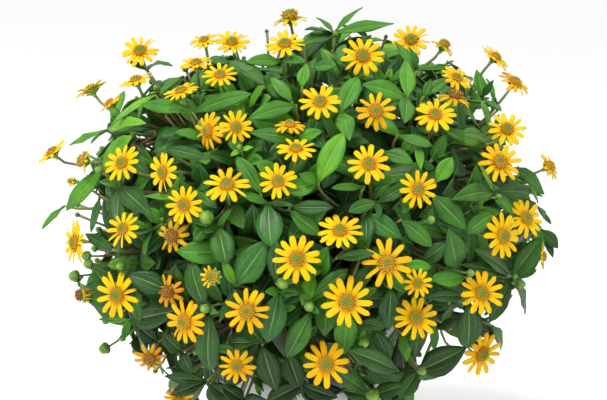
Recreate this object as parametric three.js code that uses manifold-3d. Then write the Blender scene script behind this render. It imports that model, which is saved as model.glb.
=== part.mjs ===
// Potted creeping zinnia: a round nursery pot, its potting mix, the crown of the plant,
// sixteen leafy branches and the flower heads that they carry.
// Millimetres, +Z up, origin at the centre of the pot's flat underside.
import * as THREE from "three";
import { mergeVertices } from "three/addons/utils/BufferGeometryUtils.js";
import Module from "manifold-3d";

const wasm = await Module();
wasm.setup();

const colours = {
  pot: 0xe9eae6,
  mix: 0x3a2a1f,
  crown: 0x6b5a3c,
  branch: 0x4f8a3a,
  flower: 0xf6b90d,
};

const clearance = 0.3; // air kept between neighbouring pieces
const goldenAngle = Math.PI * (3 - Math.sqrt(5));
const degrees = THREE.MathUtils.degToRad;

const pot = {
  height: 98,
  baseRadius: 42,
  shoulderRadius: 54, // outside of the wall just under the rim
  rimRadius: 58,
  rimHeight: 15,
  rimEdge: 1.2,
  wall: 1.8,
  floor: 2.4,
  drainHoles: 6,
  drainRadius: 4,
  drainRing: 27,
  drainSides: 10,
  sides: 40,
};

const mix = {
  belowRim: 10,
  mound: 2.5, // how far the middle stands above the edge
  flatRadius: 16,
  sides: 24,
};

const crown = {
  radius: 11,
  sink: 4, // how far its round centre lies above the mix
  sides: 14,
  arcSteps: 5,
};

// The mound of the plant: the surface on which the flower heads sit.
const dome = {
  centre: new THREE.Vector3(0, 0, 150),
  radius: 136,
  rise: 108,
  drop: 122,
};

// The front view in which the heads are placed: a 607 by 400 frame, seen from -Y.
const view = {
  width: 607,
  height: 400,
  elevation: degrees(10),
  distance: 1350,
  pixel: 0.543, // millimetres per pixel at the middle of the plant
  aim: new THREE.Vector3(1.4, 0, 158),
  nearest: 1.1, // where heads may lie before and behind the middle, in dome radii
  farthest: 0.5,
  stride: 0.5,
};

const branch = {
  count: 16,
  trunkRadius: 1.6,
  trunkSides: 5,
  trunkSteps: 4,
  trunkLead: 0.35, // the stretches of a trunk that its two handles take
  trunkArrive: 0.75,
  fork: 0.58, // share of the way from the dome's centre to its surface
  arch: 5,
  firstStalk: 0.62, // share of the trunk that bears no stalk
  highest: 0.95, // sines of the steepest and the lowest branch
  lowest: -0.42,
  stalkRadius: 0.9,
  stalkSides: 3,
  stalkSteps: 3,
  stalkHandle: 0.35, // share of a stalk's span that each of its handles takes
  longestHandle: 26,
};

const head = {
  rays: 8,
  valley: 0.36, // shares of the head's radius
  tipWidth: 0.21,
  rayThickness: 1,
  discRadius: 0.27,
  discTop: 0.55, // share of the disc's foot
  discRise: 2.4,
  calyxDepth: 4.5,
  calyxFoot: 1.3,
  funnelSeat: 2.5, // depth at which a stalk ends inside its funnel
  sides: 5,
  funnelSides: 6,
  spacing: 0.82, // least distance between two heads, as a share of their radii together
  step: 0.03,
  deepest: 0.6,
};

const leaf = {
  length: 36,
  width: 14,
  thickness: 1.4, // over the ridge
  lift: degrees(20),
  turns: [0, 30, -30, 60, -60, 90].map(degrees),
  places: [2 / 3], // along each flower stalk
  hangingPlaces: [1 / 3, 2 / 3],
};

// Heads in the front view: x and y in pixels of the frame, across in pixels,
// tilt in degrees away from the viewer, and the side to which they tilt
// (0 right, 90 up, 180 left, 270 down).
const frontHeads = [
  { x: 347, y: 302, across: 54, tilt: 4, side: 90 },
  { x: 387, y: 263, across: 53, tilt: 6, side: 60 },
  { x: 297, y: 259, across: 51, tilt: 6, side: 90 },
  { x: 326, y: 364, across: 50, tilt: 6, side: 270 },
  { x: 247, y: 311, across: 49, tilt: 8, side: 200 },
  { x: 416, y: 318, across: 46, tilt: 10, side: 20 },
  { x: 482, y: 293, across: 47, tilt: 16, side: 10 },
  { x: 340, y: 231, across: 48, tilt: 42, side: 90 },
  { x: 227, y: 185, across: 49, tilt: 42, side: 95 },
  { x: 278, y: 181, across: 40, tilt: 22, side: 90 },
  { x: 369, y: 164, across: 45, tilt: 24, side: 90 },
  { x: 418, y: 189, across: 41, tilt: 8, side: 30 },
  { x: 376, y: 111, across: 45, tilt: 8, side: 90 },
  { x: 435, y: 115, across: 44, tilt: 38, side: 85 },
  { x: 500, y: 162, across: 46, tilt: 22, side: 70 },
  { x: 507, y: 129, across: 41, tilt: 30, side: 75 },
  { x: 363, y: 56, across: 46, tilt: 25, side: 90 },
  { x: 411, y: 40, across: 40, tilt: 35, side: 85 },
  { x: 320, y: 102, across: 43, tilt: 32, side: 90 },
  { x: 285, y: 44, across: 42, tilt: 50, side: 95 },
  { x: 232, y: 42, across: 36, tilt: 44, side: 95 },
  { x: 220, y: 75, across: 37, tilt: 48, side: 95 },
  { x: 140, y: 51, across: 40, tilt: 40, side: 105 },
  { x: 236, y: 127, across: 36, tilt: 10, side: 60 },
  { x: 208, y: 131, across: 42, tilt: 46, side: 175 },
  { x: 296, y: 149, across: 42, tilt: 56, side: 90 },
  { x: 122, y: 163, across: 42, tilt: 38, side: 140 },
  { x: 163, y: 172, across: 42, tilt: 47, side: 180 },
  { x: 184, y: 205, across: 41, tilt: 18, side: 180 },
  { x: 172, y: 236, across: 41, tilt: 22, side: 190 },
  { x: 123, y: 229, across: 40, tilt: 38, side: 150 },
  { x: 75, y: 242, across: 46, tilt: 60, side: 180 },
  { x: 117, y: 295, across: 49, tilt: 24, side: 185 },
  { x: 185, y: 322, across: 48, tilt: 36, side: 190 },
  { x: 150, y: 359, across: 38, tilt: 32, side: 265 },
  { x: 237, y: 366, across: 39, tilt: 12, side: 265 },
  { x: 503, y: 236, across: 48, tilt: 40, side: 0 },
  { x: 526, y: 218, across: 43, tilt: 40, side: 30 },
  { x: 482, y: 354, across: 48, tilt: 45, side: 330 },
  { x: 515, y: 82, across: 38, tilt: 60, side: 55 },
  { x: 418, y: 283, across: 31, tilt: 6, side: 20 },
];

// Smaller, edge-on or half-hidden heads of the same view. They are one piece with their branch.
const sideHeads = [
  { x: 290, y: 17, across: 40, tilt: 72, side: 95 },
  { x: 204, y: 40, across: 30, tilt: 62, side: 105 },
  { x: 196, y: 63, across: 36, tilt: 66, side: 100 },
  { x: 181, y: 91, across: 38, tilt: 66, side: 110 },
  { x: 136, y: 80, across: 38, tilt: 76, side: 110 },
  { x: 91, y: 89, across: 37, tilt: 98, side: 120 },
  { x: 110, y: 103, across: 30, tilt: 84, side: 130 },
  { x: 444, y: 45, across: 29, tilt: 78, side: 60 },
  { x: 496, y: 57, across: 34, tilt: 68, side: 45 },
  { x: 457, y: 78, across: 34, tilt: 52, side: 60 },
  { x: 455, y: 97, across: 39, tilt: 74, side: 75 },
  { x: 550, y: 166, across: 32, tilt: 66, side: 30 },
  { x: 52, y: 152, across: 36, tilt: 74, side: 130 },
  { x: 83, y: 161, across: 32, tilt: 82, side: 170 },
  { x: 290, y: 125, across: 34, tilt: 60, side: 90 },
  { x: 168, y: 292, across: 40, tilt: 30, side: 200 },
  { x: 212, y: 277, across: 26, tilt: 35, side: 185 },
  { x: 81, y: 295, across: 30, tilt: 70, side: 185 },
  { x: 179, y: 400, across: 34, tilt: 40, side: 260 },
  { x: 543, y: 256, across: 30, tilt: 85, side: 0 },
];

// Heads all round the back and sides follow an even spiral over the dome.
const backHeads = {
  spiral: 92,
  top: 0.97,
  bottom: -0.7,
  facing: 0.12, // they start where the dome turns away from the viewer
  smallest: 10.2, // radii
  largest: 12.6,
  upward: 0.35,
};

// Leafy shoots that hang around the pot and end in no flower.
const hanging = {
  count: 10,
  radius: 88,
  height: 47,
  sway: 9, // every other tip hangs this much lower
  outward: 0.5,
};

// A closed triangle mesh as a solid.
function solidOf(geometry) {
  const bare = geometry.index ? geometry.toNonIndexed() : geometry.clone();
  bare.deleteAttribute("normal");
  bare.deleteAttribute("uv");
  const merged = mergeVertices(bare, 1e-4);
  const mesh = new wasm.Mesh({
    numProp: 3,
    vertProperties: new Float32Array(merged.attributes.position.array),
    triVerts: new Uint32Array(merged.index.array),
  });
  return new wasm.Manifold(mesh);
}

function geometryOf(solid) {
  const mesh = solid.getMesh();
  const geometry = new THREE.BufferGeometry();
  geometry.setAttribute("position", new THREE.BufferAttribute(mesh.vertProperties, 3));
  geometry.setIndex(new THREE.BufferAttribute(mesh.triVerts, 1));
  geometry.computeVertexNormals();
  return geometry;
}

function namedMesh(name, geometry, color, roughness) {
  const material = new THREE.MeshStandardMaterial({ color, roughness, metalness: 0 });
  const mesh = new THREE.Mesh(geometry, material);
  mesh.name = name;
  return mesh;
}

function lathe(profile, sides) {
  const points = profile.map(([radius, z]) => new THREE.Vector2(radius, z));
  return new THREE.LatheGeometry(points, sides).rotateX(Math.PI / 2);
}

// Outside radius of the pot's wall at a height.
function wallRadius(z) {
  const share = z / (pot.height - pot.rimHeight);
  return pot.baseRadius + (pot.shoulderRadius - pot.baseRadius) * share;
}

function makePot() {
  const rimFoot = pot.height - pot.rimHeight;
  const insideTop = pot.rimRadius - pot.wall - pot.rimEdge;
  const shell = lathe(
    [
      [0, 0],
      [pot.baseRadius, 0],
      [pot.shoulderRadius, rimFoot],
      [pot.rimRadius - pot.rimEdge, rimFoot],
      [pot.rimRadius, rimFoot + pot.rimEdge],
      [pot.rimRadius, pot.height - pot.rimEdge],
      [pot.rimRadius - pot.rimEdge, pot.height],
      [insideTop, pot.height],
      [wallRadius(rimFoot) - pot.wall, rimFoot - pot.rimEdge],
      [wallRadius(pot.floor) - pot.wall, pot.floor],
      [0, pot.floor],
    ],
    pot.sides,
  );
  let solid = solidOf(shell);
  for (let i = 0; i < pot.drainHoles; i++) {
    const turn = (i / pot.drainHoles) * 2 * Math.PI;
    const { drainRadius, drainSides } = pot;
    const drill = new THREE.CylinderGeometry(drainRadius, drainRadius, 4 * pot.floor, drainSides);
    drill.rotateX(Math.PI / 2);
    drill.translate(pot.drainRing * Math.cos(turn), pot.drainRing * Math.sin(turn), 0);
    solid = solid.subtract(solidOf(drill));
  }
  return geometryOf(solid);
}

const mixTop = pot.height - mix.belowRim + mix.mound;

function makeMix() {
  const low = pot.floor + clearance;
  const rimFoot = pot.height - pot.rimHeight;
  const inset = pot.wall + 2 * clearance;
  const edge = pot.height - mix.belowRim;
  return lathe(
    [
      [0, low],
      [wallRadius(low) - inset, low],
      [wallRadius(rimFoot - pot.rimEdge) - inset, rimFoot - pot.rimEdge],
      [wallRadius(rimFoot) - inset, edge],
      [mix.flatRadius, mixTop],
      [0, mixTop],
    ],
    mix.sides,
  );
}

const crownCentre = new THREE.Vector3(0, 0, mixTop + crown.sink);

function makeCrown() {
  const foot = clearance - crown.sink;
  const start = Math.asin(foot / crown.radius);
  const profile = [[0, crownCentre.z + foot]];
  for (let i = 0; i <= crown.arcSteps; i++) {
    const angle = THREE.MathUtils.lerp(start, Math.PI / 2, i / crown.arcSteps);
    const radius = i === crown.arcSteps ? 0 : crown.radius * Math.cos(angle);
    profile.push([radius, crownCentre.z + crown.radius * Math.sin(angle)]);
  }
  return lathe(profile, crown.sides);
}

// How far out a point lies: 1 on the dome's surface, less inside.
function domeLevel(point) {
  const z = point.z - dome.centre.z;
  const reach = z > 0 ? dome.rise : dome.drop;
  const flat = Math.hypot(point.x, point.y) / dome.radius;
  return Math.hypot(flat, z / reach);
}

function domePoint(direction, level) {
  const unit = domeLevel(dome.centre.clone().add(direction));
  return dome.centre.clone().addScaledVector(direction, level / unit);
}

const forward = new THREE.Vector3(0, Math.cos(view.elevation), -Math.sin(view.elevation));
const upward = new THREE.Vector3(0, Math.sin(view.elevation), Math.cos(view.elevation));
const rightward = new THREE.Vector3(1, 0, 0);
const eye = view.aim.clone().addScaledVector(forward, -view.distance);

// The sight line through a pixel meets the dome, or passes closest to it.
function seenPoint(x, y, level) {
  const step = view.pixel / view.distance;
  const line = forward.clone();
  line.addScaledVector(rightward, (x - view.width / 2) * step);
  line.addScaledVector(upward, (view.height / 2 - y) * step);
  const first = view.distance - view.nearest * dome.radius;
  const last = view.distance + view.farthest * dome.radius;
  let best = first;
  let least = Infinity;
  for (let along = first; along < last; along += view.stride) {
    const now = domeLevel(eye.clone().addScaledVector(line, along));
    if (now < least) {
      least = now;
      best = along;
    }
    if (now <= level) break;
  }
  return { place: eye.clone().addScaledVector(line, best), along: best, line };
}

function seenHead(row, level) {
  const { place, along, line } = seenPoint(row.x, row.y, level);
  const tilt = degrees(row.tilt);
  const side = degrees(row.side);
  const axis = line.clone().normalize().multiplyScalar(-Math.cos(tilt));
  axis.addScaledVector(rightward, Math.sin(tilt) * Math.cos(side));
  axis.addScaledVector(upward, Math.sin(tilt) * Math.sin(side));
  const radius = (row.across * view.pixel * along) / view.distance / 2;
  return { place, axis: axis.normalize(), radius };
}

const heads = [];

function tooClose(candidate) {
  return heads.some((other) => {
    const least = head.spacing * (other.radius + candidate.radius);
    return other.place.distanceTo(candidate.place) < least;
  });
}

// A head that would touch an earlier one sits deeper in the plant.
function placeSeenHeads(rows, own) {
  for (const row of rows) {
    let level = 1;
    let candidate = seenHead(row, level);
    while (tooClose(candidate) && level > head.deepest) {
      level -= head.step;
      candidate = seenHead(row, level);
    }
    heads.push({ ...candidate, own });
  }
}

function placeBackHeads() {
  for (let i = 0; i < backHeads.spiral; i++) {
    const rise = THREE.MathUtils.lerp(backHeads.top, backHeads.bottom, i / (backHeads.spiral - 1));
    const turn = i * goldenAngle;
    const flat = Math.sqrt(1 - rise * rise);
    const direction = new THREE.Vector3(flat * Math.cos(turn), flat * Math.sin(turn), rise);
    const place = domePoint(direction, 1);
    const axis = direction.clone();
    axis.z += backHeads.upward;
    axis.normalize();
    const radius = THREE.MathUtils.lerp(backHeads.smallest, backHeads.largest, (i * goldenAngle) % 1);
    const candidate = { place, axis, radius, own: false };
    const hidden = direction.dot(forward) > backHeads.facing;
    if (hidden && !tooClose(candidate)) heads.push(candidate);
  }
}

function hangingTips() {
  const tips = [];
  for (let i = 0; i < hanging.count; i++) {
    const turn = ((i + 0.5) / hanging.count) * 2 * Math.PI;
    const out = new THREE.Vector3(Math.cos(turn), Math.sin(turn), 0);
    const place = out.clone().multiplyScalar(hanging.radius);
    place.z = hanging.height - (i % 2) * hanging.sway;
    const axis = out.multiplyScalar(hanging.outward).add(new THREE.Vector3(0, 0, -1)).normalize();
    tips.push({ place, axis, hanging: true });
  }
  return tips;
}

placeSeenHeads(frontHeads, true);
placeSeenHeads(sideHeads, false);
placeBackHeads();

// One flower head, facing +Z, with its ray florets in the plane z = 0.
function rayOutline(radius) {
  const points = [];
  for (let i = 0; i < head.rays; i++) {
    const middle = (i / head.rays) * 2 * Math.PI;
    const between = middle + Math.PI / head.rays;
    const out = new THREE.Vector2(Math.cos(middle), Math.sin(middle));
    const across = new THREE.Vector2(-out.y, out.x);
    const tip = (head.tipWidth / 2) * radius;
    points.push(out.clone().multiplyScalar(radius).addScaledVector(across, -tip));
    points.push(out.clone().multiplyScalar(radius).addScaledVector(across, tip));
    const valley = new THREE.Vector2(Math.cos(between), Math.sin(between));
    points.push(valley.multiplyScalar(head.valley * radius));
  }
  return new THREE.Shape(points);
}

function makeHead(radius) {
  const rays = new THREE.ExtrudeGeometry(rayOutline(radius), {
    depth: head.rayThickness,
    bevelEnabled: false,
  });
  rays.translate(0, 0, -head.rayThickness / 2);
  const discRadius = head.discRadius * radius;
  const topRadius = head.discTop * discRadius;
  const disc = new THREE.CylinderGeometry(topRadius, discRadius, head.discRise, head.sides);
  disc.rotateX(Math.PI / 2);
  disc.translate(0, 0, head.discRise / 2);
  const calyx = new THREE.CylinderGeometry(discRadius, head.calyxFoot, head.calyxDepth, head.sides);
  calyx.rotateX(Math.PI / 2);
  calyx.translate(0, 0, -head.calyxDepth / 2);
  return geometryOf(solidOf(rays).add(solidOf(disc)).add(solidOf(calyx)));
}

// A plain open cone for a head that is one piece with its stalk.
function makeFunnel(radius) {
  const funnel = new THREE.ConeGeometry(radius, head.calyxDepth, head.funnelSides);
  funnel.rotateX(-Math.PI / 2);
  return funnel.translate(0, 0, -head.calyxDepth / 2);
}

function standOn(place, axis) {
  const turn = new THREE.Quaternion().setFromUnitVectors(new THREE.Vector3(0, 0, 1), axis);
  return new THREE.Matrix4().compose(place, turn, new THREE.Vector3(1, 1, 1));
}

function tube(curve, radius, sides, steps) {
  const points = [];
  for (let i = 0; i < sides; i++) {
    const angle = (i / sides) * 2 * Math.PI;
    points.push(new THREE.Vector2(radius * Math.cos(angle), radius * Math.sin(angle)));
  }
  return new THREE.ExtrudeGeometry(new THREE.Shape(points), {
    steps,
    extrudePath: curve,
    bevelEnabled: false,
  });
}

function branchDirection(i) {
  const rise = THREE.MathUtils.lerp(branch.highest, branch.lowest, i / (branch.count - 1));
  const turn = i * goldenAngle;
  const flat = Math.sqrt(1 - rise * rise);
  return new THREE.Vector3(flat * Math.cos(turn), flat * Math.sin(turn), rise);
}

function trunkCurve(i) {
  const fork = domePoint(branchDirection(i), branch.fork);
  const out = fork.clone().sub(crownCentre).normalize();
  const start = crownCentre.clone().addScaledVector(out, crown.radius + clearance);
  const lead = start.clone().lerp(fork, branch.trunkLead);
  const arrive = start.clone().lerp(fork, branch.trunkArrive);
  arrive.z += branch.arch;
  return new THREE.CubicBezierCurve3(start, lead, arrive, fork);
}

function nearestBranch(place) {
  const direction = place.clone().sub(dome.centre).normalize();
  let best = 0;
  for (let i = 1; i < branch.count; i++) {
    if (branchDirection(i).dot(direction) > branchDirection(best).dot(direction)) best = i;
  }
  return best;
}

// A stalk leaves the outer part of its trunk and arrives square behind its head.
function stalkCurve(trunk, share, item) {
  const start = trunk.getPoint(share);
  const back = item.own ? head.calyxDepth + clearance : head.funnelSeat;
  const end = item.place.clone().addScaledVector(item.axis, -back);
  const reach = branch.stalkHandle * start.distanceTo(end);
  const lead = start.clone().addScaledVector(trunk.getTangent(share), reach);
  const arrive = end.clone().addScaledVector(item.axis, -Math.min(reach, branch.longestHandle));
  return new THREE.CubicBezierCurve3(start, lead, arrive, end);
}

// A leaf along +X: pointed at both ends, with a shallow ridge down its middle.
function leafBlade(grow) {
  const length = leaf.length + grow;
  const blade = new THREE.OctahedronGeometry(1);
  blade.scale(length / 2, leaf.width / 2 + grow, leaf.thickness / 2 + grow);
  return blade.translate(length / 2, 0, 0).rotateY(-leaf.lift);
}

// The frame of a pair: along its first leaf, across it, and towards the tip of the stem.
function pairMatrix(place, tangent, turn) {
  const along = new THREE.Vector3(0, 0, 1).cross(tangent).normalize().applyAxisAngle(tangent, turn);
  const across = tangent.clone().cross(along);
  return new THREE.Matrix4().makeBasis(along, across, tangent).setPosition(place);
}

// Everything that stands already. A new piece may touch only what it grows from.
const standing = [];

function stand(geometry, solid = solidOf(geometry)) {
  geometry.computeBoundingBox();
  const piece = { solid, box: geometry.boundingBox };
  standing.push(piece);
  return piece;
}

function isFree(geometry, grownFrom) {
  geometry.computeBoundingBox();
  const box = geometry.boundingBox;
  const near = standing.filter((other) => !grownFrom.includes(other) && other.box.intersectsBox(box));
  if (!near.length) return true;
  const solid = solidOf(geometry);
  return near.every((other) => solid.intersect(other.solid).volume() === 0);
}

const group = new THREE.Group();

const potMesh = namedMesh("pot", makePot(), colours.pot, 0.45);
const mixMesh = namedMesh("potting_mix", makeMix(), colours.mix, 0.95);
const crownMesh = namedMesh("crown", makeCrown(), colours.crown, 0.8);
for (const mesh of [potMesh, mixMesh, crownMesh]) {
  group.add(mesh);
  stand(mesh.geometry);
}

const flowers = new THREE.Group();
heads
  .filter((item) => item.own)
  .forEach((item, n) => {
    const name = "flower_head_" + String(n + 1).padStart(2, "0");
    const mesh = namedMesh(name, makeHead(item.radius), colours.flower, 0.55);
    const matrix = standOn(item.place, item.axis);
    matrix.decompose(mesh.position, mesh.quaternion, mesh.scale);
    flowers.add(mesh);
    stand(mesh.geometry.clone().applyMatrix4(matrix));
  });
group.add(flowers);

const branches = [];
for (let i = 0; i < branch.count; i++) {
  const curve = trunkCurve(i);
  const piece = stand(tube(curve, branch.trunkRadius, branch.trunkSides, branch.trunkSteps));
  branches.push({ curve, piece, parts: [piece], stalks: [] });
}

// Two opposite leaves, each turned until it keeps clear of all that it does not grow from.
function addPair(one, stalk, share, start) {
  const place = stalk.curve.getPointAt(share);
  const tangent = stalk.curve.getTangentAt(share);
  const grownFrom = [stalk.piece];
  for (const side of [0, Math.PI]) {
    for (const turn of leaf.turns) {
      const matrix = pairMatrix(place, tangent, start + side + turn);
      if (!isFree(leafBlade(clearance).applyMatrix4(matrix), grownFrom)) continue;
      grownFrom.push(stand(leafBlade(0).applyMatrix4(matrix)));
      break;
    }
  }
  one.parts.push(...grownFrom.slice(1));
}

function addStalk(one, share, item) {
  const curve = stalkCurve(one.curve, share, item);
  const { stalkRadius, stalkSides, stalkSteps } = branch;
  const room = tube(curve, stalkRadius + clearance, stalkSides, stalkSteps);
  if (!isFree(room, one.parts)) throw new Error("a stalk touches its neighbour");
  const piece = stand(tube(curve, stalkRadius, stalkSides, stalkSteps));
  one.parts.push(piece);
  one.stalks.push({ curve, piece, item });
}

branches.forEach((one, i) => {
  const carried = [...heads, ...hangingTips()].filter((item) => nearestBranch(item.place) === i);
  carried.forEach((item, n) => {
    const share = THREE.MathUtils.lerp(branch.firstStalk, 1, (n + 1) / carried.length);
    addStalk(one, share, item);
    if (item.own || item.hanging) return;
    one.parts.push(stand(makeFunnel(item.radius).applyMatrix4(standOn(item.place, item.axis))));
  });
});

branches.forEach((one) => {
  one.stalks.forEach((stalk, n) => {
    const places = stalk.item.hanging ? leaf.hangingPlaces : leaf.places;
    places.forEach((share, m) => addPair(one, stalk, share, (n + m) * goldenAngle));
  });
});

branches.forEach((one, i) => {
  const name = "branch_" + String(i + 1).padStart(2, "0");
  const whole = one.parts.map((part) => part.solid).reduce((sum, part) => sum.add(part));
  group.add(namedMesh(name, geometryOf(whole), colours.branch, 0.6));
});

export default group;
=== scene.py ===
# Potted creeping zinnia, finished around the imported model.
# Lengths are millimetres until a mesh is made, as in the model's own tables.
import functools
import math
import random

import bpy
import numpy as np
from mathutils.bvhtree import BVHTree
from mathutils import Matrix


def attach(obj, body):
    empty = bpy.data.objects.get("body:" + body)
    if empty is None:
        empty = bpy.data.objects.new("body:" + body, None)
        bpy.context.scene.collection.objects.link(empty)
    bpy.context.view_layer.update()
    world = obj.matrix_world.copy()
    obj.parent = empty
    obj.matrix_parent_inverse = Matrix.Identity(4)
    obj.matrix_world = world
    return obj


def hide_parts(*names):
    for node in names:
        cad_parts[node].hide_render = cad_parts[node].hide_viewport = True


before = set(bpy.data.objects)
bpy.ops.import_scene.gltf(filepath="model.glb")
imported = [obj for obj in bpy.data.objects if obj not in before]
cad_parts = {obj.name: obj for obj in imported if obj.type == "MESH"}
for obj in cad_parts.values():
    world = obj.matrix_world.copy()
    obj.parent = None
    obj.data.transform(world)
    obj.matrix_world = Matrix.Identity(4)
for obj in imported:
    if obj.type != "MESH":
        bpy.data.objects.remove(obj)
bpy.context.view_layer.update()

mm = 0.001
goldenAngle = math.pi * (3 - math.sqrt(5))
fullTurn = 6.28  # about a full turn in radians, for random turns and for waves
zAxis = np.array((0.0, 0.0, 1.0))
# directions that no stem and no thing quite follows
oddDirections = {"stem": (0.3, 0.9, 0.31), "thing": (0.12, 0.31, 0.94)}


def lerp(a, b, share):
    return a + (b - a) * share


def unit(vector):
    return vector / np.linalg.norm(vector)


def clamp(value, low=0, high=1):
    return min(max(value, low), high)


def nudge(draw, reach):
    return draw.uniform(-reach, reach)


def evenTurns(count):
    return np.arange(count) / count * 2 * math.pi


def circle(count):
    turn = evenTurns(count)
    return np.stack((np.cos(turn), np.sin(turn), 0 * turn), 1)


def linear(red, green, blue):
    # a colour as the eye sees it, 0 to 255, in the renderer's linear numbers
    parts = [part / 255 for part in (red, green, blue)]
    return tuple(p / 12.92 if p <= 0.04045 else ((p + 0.055) / 1.055) ** 2.4 for p in parts) + (1.0,)


# The plant's plan, the same as in the model.

potSize = {
    "height": 98,
    "baseRadius": 42,
    "shoulderRadius": 54,  # outside of the wall just under the rim
    "rimRadius": 58,
    "rimHeight": 15,
    "rimEdge": 1.2,
    "fillet": 1.6,
    "lip": 0.8,
    "wall": 1.8,
    "floor": 2.4,
    "drainHoles": 6,
    "drainRadius": 4,
    "drainRing": 27,
    "drainSides": 28,
    "drainChamfer": 0.6,
    "sides": 112,
    "arcSteps": 5,
    "lipSteps": 4,
    "rows": {"wall": 12, "rim": 5, "inside": 6},
}
mixSize = {
    "belowRim": 10,
    "mound": 2.5,
    "flatRadius": 16,
    "gap": 0.6,
    "floorGap": 0.3,
    "footEdge": 1,
    "topEdge": 1.5,
    "wallFoot": 12,
    "rows": (6, 17),  # of the wall and of the top
    "sides": 72,
    "settled": 1.5,  # how uneven the top is, down and sideways
    "shifted": 0.4,
    "crumbs": 620,
    "crumbSides": 6,
    "crumbSize": (0.5, 1.7),
    "crumbShape": ((0.8, 1.9), (0.7, 1.2), (0.4, 0.8)),
    "crumbLean": 0.4,
    "crumbSink": 1.1,
    "crumbInset": 3,
    "crownRoom": 2,
}
crownSize = {
    "radius": 11,
    "sink": 4,
    "gap": 0.3,
    "rows": 16,
    "sides": 40,
    "ridges": ((0.05, 9, 0.4), (0.03, 17, -0.9)),  # depth, how many there are and how they lean
}
dome = {"centre": np.array((0.0, 0.0, 150.0)), "radius": 136, "rise": 108, "drop": 122}
frontView = {
    "width": 607,
    "height": 400,
    "elevation": math.radians(10),
    "distance": 1350,
    "pixel": 0.543,  # millimetres per pixel at the middle of the plant
    "aim": np.array((1.4, 0.0, 158.0)),
    "nearest": 1.1,
    "farthest": 0.5,
    "stride": 0.5,
}
branchPlan = {
    "count": 16,
    "trunkRadius": 1.6,
    "trunkLead": 0.35,
    "trunkArrive": 0.75,
    "fork": 0.58,
    "arch": 5,
    "firstStalk": 0.62,
    "highest": 0.95,
    "lowest": -0.42,
    "stalkHandle": 0.35,
    "longestHandle": 26,
    "startGap": 0.3,
}
headPlan = {"calyxDepth": 4.5, "seat": 2.5, "spacing": 0.82, "step": 0.03, "deepest": 0.6}

# Heads seen from the front: x, y and width in pixels of the view, tilt away from the viewer
# and the side it tilts to (0 right, 90 up), in degrees, and the kind of head.
frontHeads = [
    (347, 302, 54, 4, 90, "fresh"),
    (387, 263, 53, 6, 60, "ripe"),
    (297, 259, 51, 6, 90, "fresh"),
    (326, 364, 50, 6, 270, "fresh"),
    (247, 311, 49, 8, 200, "ripe"),
    (416, 318, 46, 10, 20, "fresh"),
    (482, 293, 47, 16, 10, "fresh"),
    (340, 231, 48, 42, 90, "fresh"),
    (227, 185, 49, 42, 95, "fresh"),
    (278, 181, 40, 22, 90, "fresh"),
    (369, 164, 45, 24, 90, "fresh"),
    (418, 189, 41, 8, 30, "fresh"),
    (376, 111, 45, 8, 90, "orange"),
    (435, 115, 44, 38, 85, "fresh"),
    (500, 162, 46, 22, 70, "ripe"),
    (507, 129, 41, 30, 75, "fresh"),
    (363, 56, 46, 25, 90, "fresh"),
    (411, 40, 40, 35, 85, "fresh"),
    (320, 102, 43, 32, 90, "fresh"),
    (285, 44, 42, 50, 95, "fresh"),
    (232, 42, 36, 44, 95, "fresh"),
    (220, 75, 37, 48, 95, "fresh"),
    (140, 51, 40, 40, 105, "fresh"),
    (236, 127, 36, 10, 60, "fresh"),
    (208, 131, 42, 46, 175, "orange"),
    (296, 149, 42, 56, 90, "fresh"),
    (122, 163, 42, 38, 140, "fresh"),
    (163, 172, 42, 47, 180, "fresh"),
    (184, 205, 41, 18, 180, "fresh"),
    (172, 236, 41, 22, 190, "brown"),
    (123, 229, 40, 38, 150, "fresh"),
    (75, 242, 46, 60, 180, "fresh"),
    (117, 295, 49, 24, 185, "fresh"),
    (185, 322, 48, 36, 190, "ripe"),
    (150, 359, 38, 32, 265, "brown"),
    (237, 366, 39, 12, 265, "fresh"),
    (503, 236, 48, 40, 0, "fresh"),
    (526, 218, 43, 40, 30, "fresh"),
    (482, 354, 48, 45, 330, "fresh"),
    (515, 82, 38, 60, 55, "orange"),
    (418, 283, 31, 6, 20, "fresh"),
]

# Heads of the same view that are one piece with their branch.
sideHeads = [
    (290, 17, 40, 72, 95, "cone"),
    (204, 40, 30, 62, 105, "fresh"),
    (196, 63, 36, 66, 100, "fresh"),
    (181, 91, 38, 66, 110, "fresh"),
    (136, 80, 38, 76, 110, "fresh"),
    (91, 89, 37, 98, 120, "fresh"),
    (110, 103, 30, 84, 130, "orange"),
    (444, 45, 29, 78, 60, "cone"),
    (496, 57, 34, 68, 45, "fresh"),
    (457, 78, 34, 52, 60, "fresh"),
    (455, 97, 39, 74, 75, "brown"),
    (550, 166, 32, 66, 30, "ripe"),
    (52, 152, 36, 74, 130, "fresh"),
    (83, 161, 32, 82, 170, "cone"),
    (290, 125, 34, 60, 90, "orange"),
    (168, 292, 40, 30, 200, "brown"),
    (212, 277, 26, 35, 185, "half"),
    (81, 295, 30, 70, 185, "wilted"),
    (179, 400, 34, 40, 260, "fresh"),
    (543, 256, 30, 85, 0, "fresh"),
]
backHeads = {
    "spiral": 92,
    "top": 0.97,
    "bottom": -0.7,
    "facing": 0.12,
    "smallest": 10.2,
    "largest": 12.6,
    "upward": 0.35,
    "tucked": 0.78,
    "budRadius": 3,
    "marks": 8,
    "kinds": ("fresh", "ripe", "fresh", "fresh", "orange", "fresh", "ripe", "brown", "fresh"),
}
hanging = {"count": 10, "radius": 88, "height": 47, "sway": 9, "outward": 0.5, "flatten": 0.72}


def domeLevel(points):
    # 1 on the dome's surface, less inside
    z = points[..., 2] - dome["centre"][2]
    reach = np.where(z > 0, dome["rise"], dome["drop"])
    return np.hypot(np.hypot(points[..., 0], points[..., 1]) / dome["radius"], z / reach)


def domePoint(direction, level):
    return dome["centre"] + direction * level / domeLevel(dome["centre"] + direction)


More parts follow.
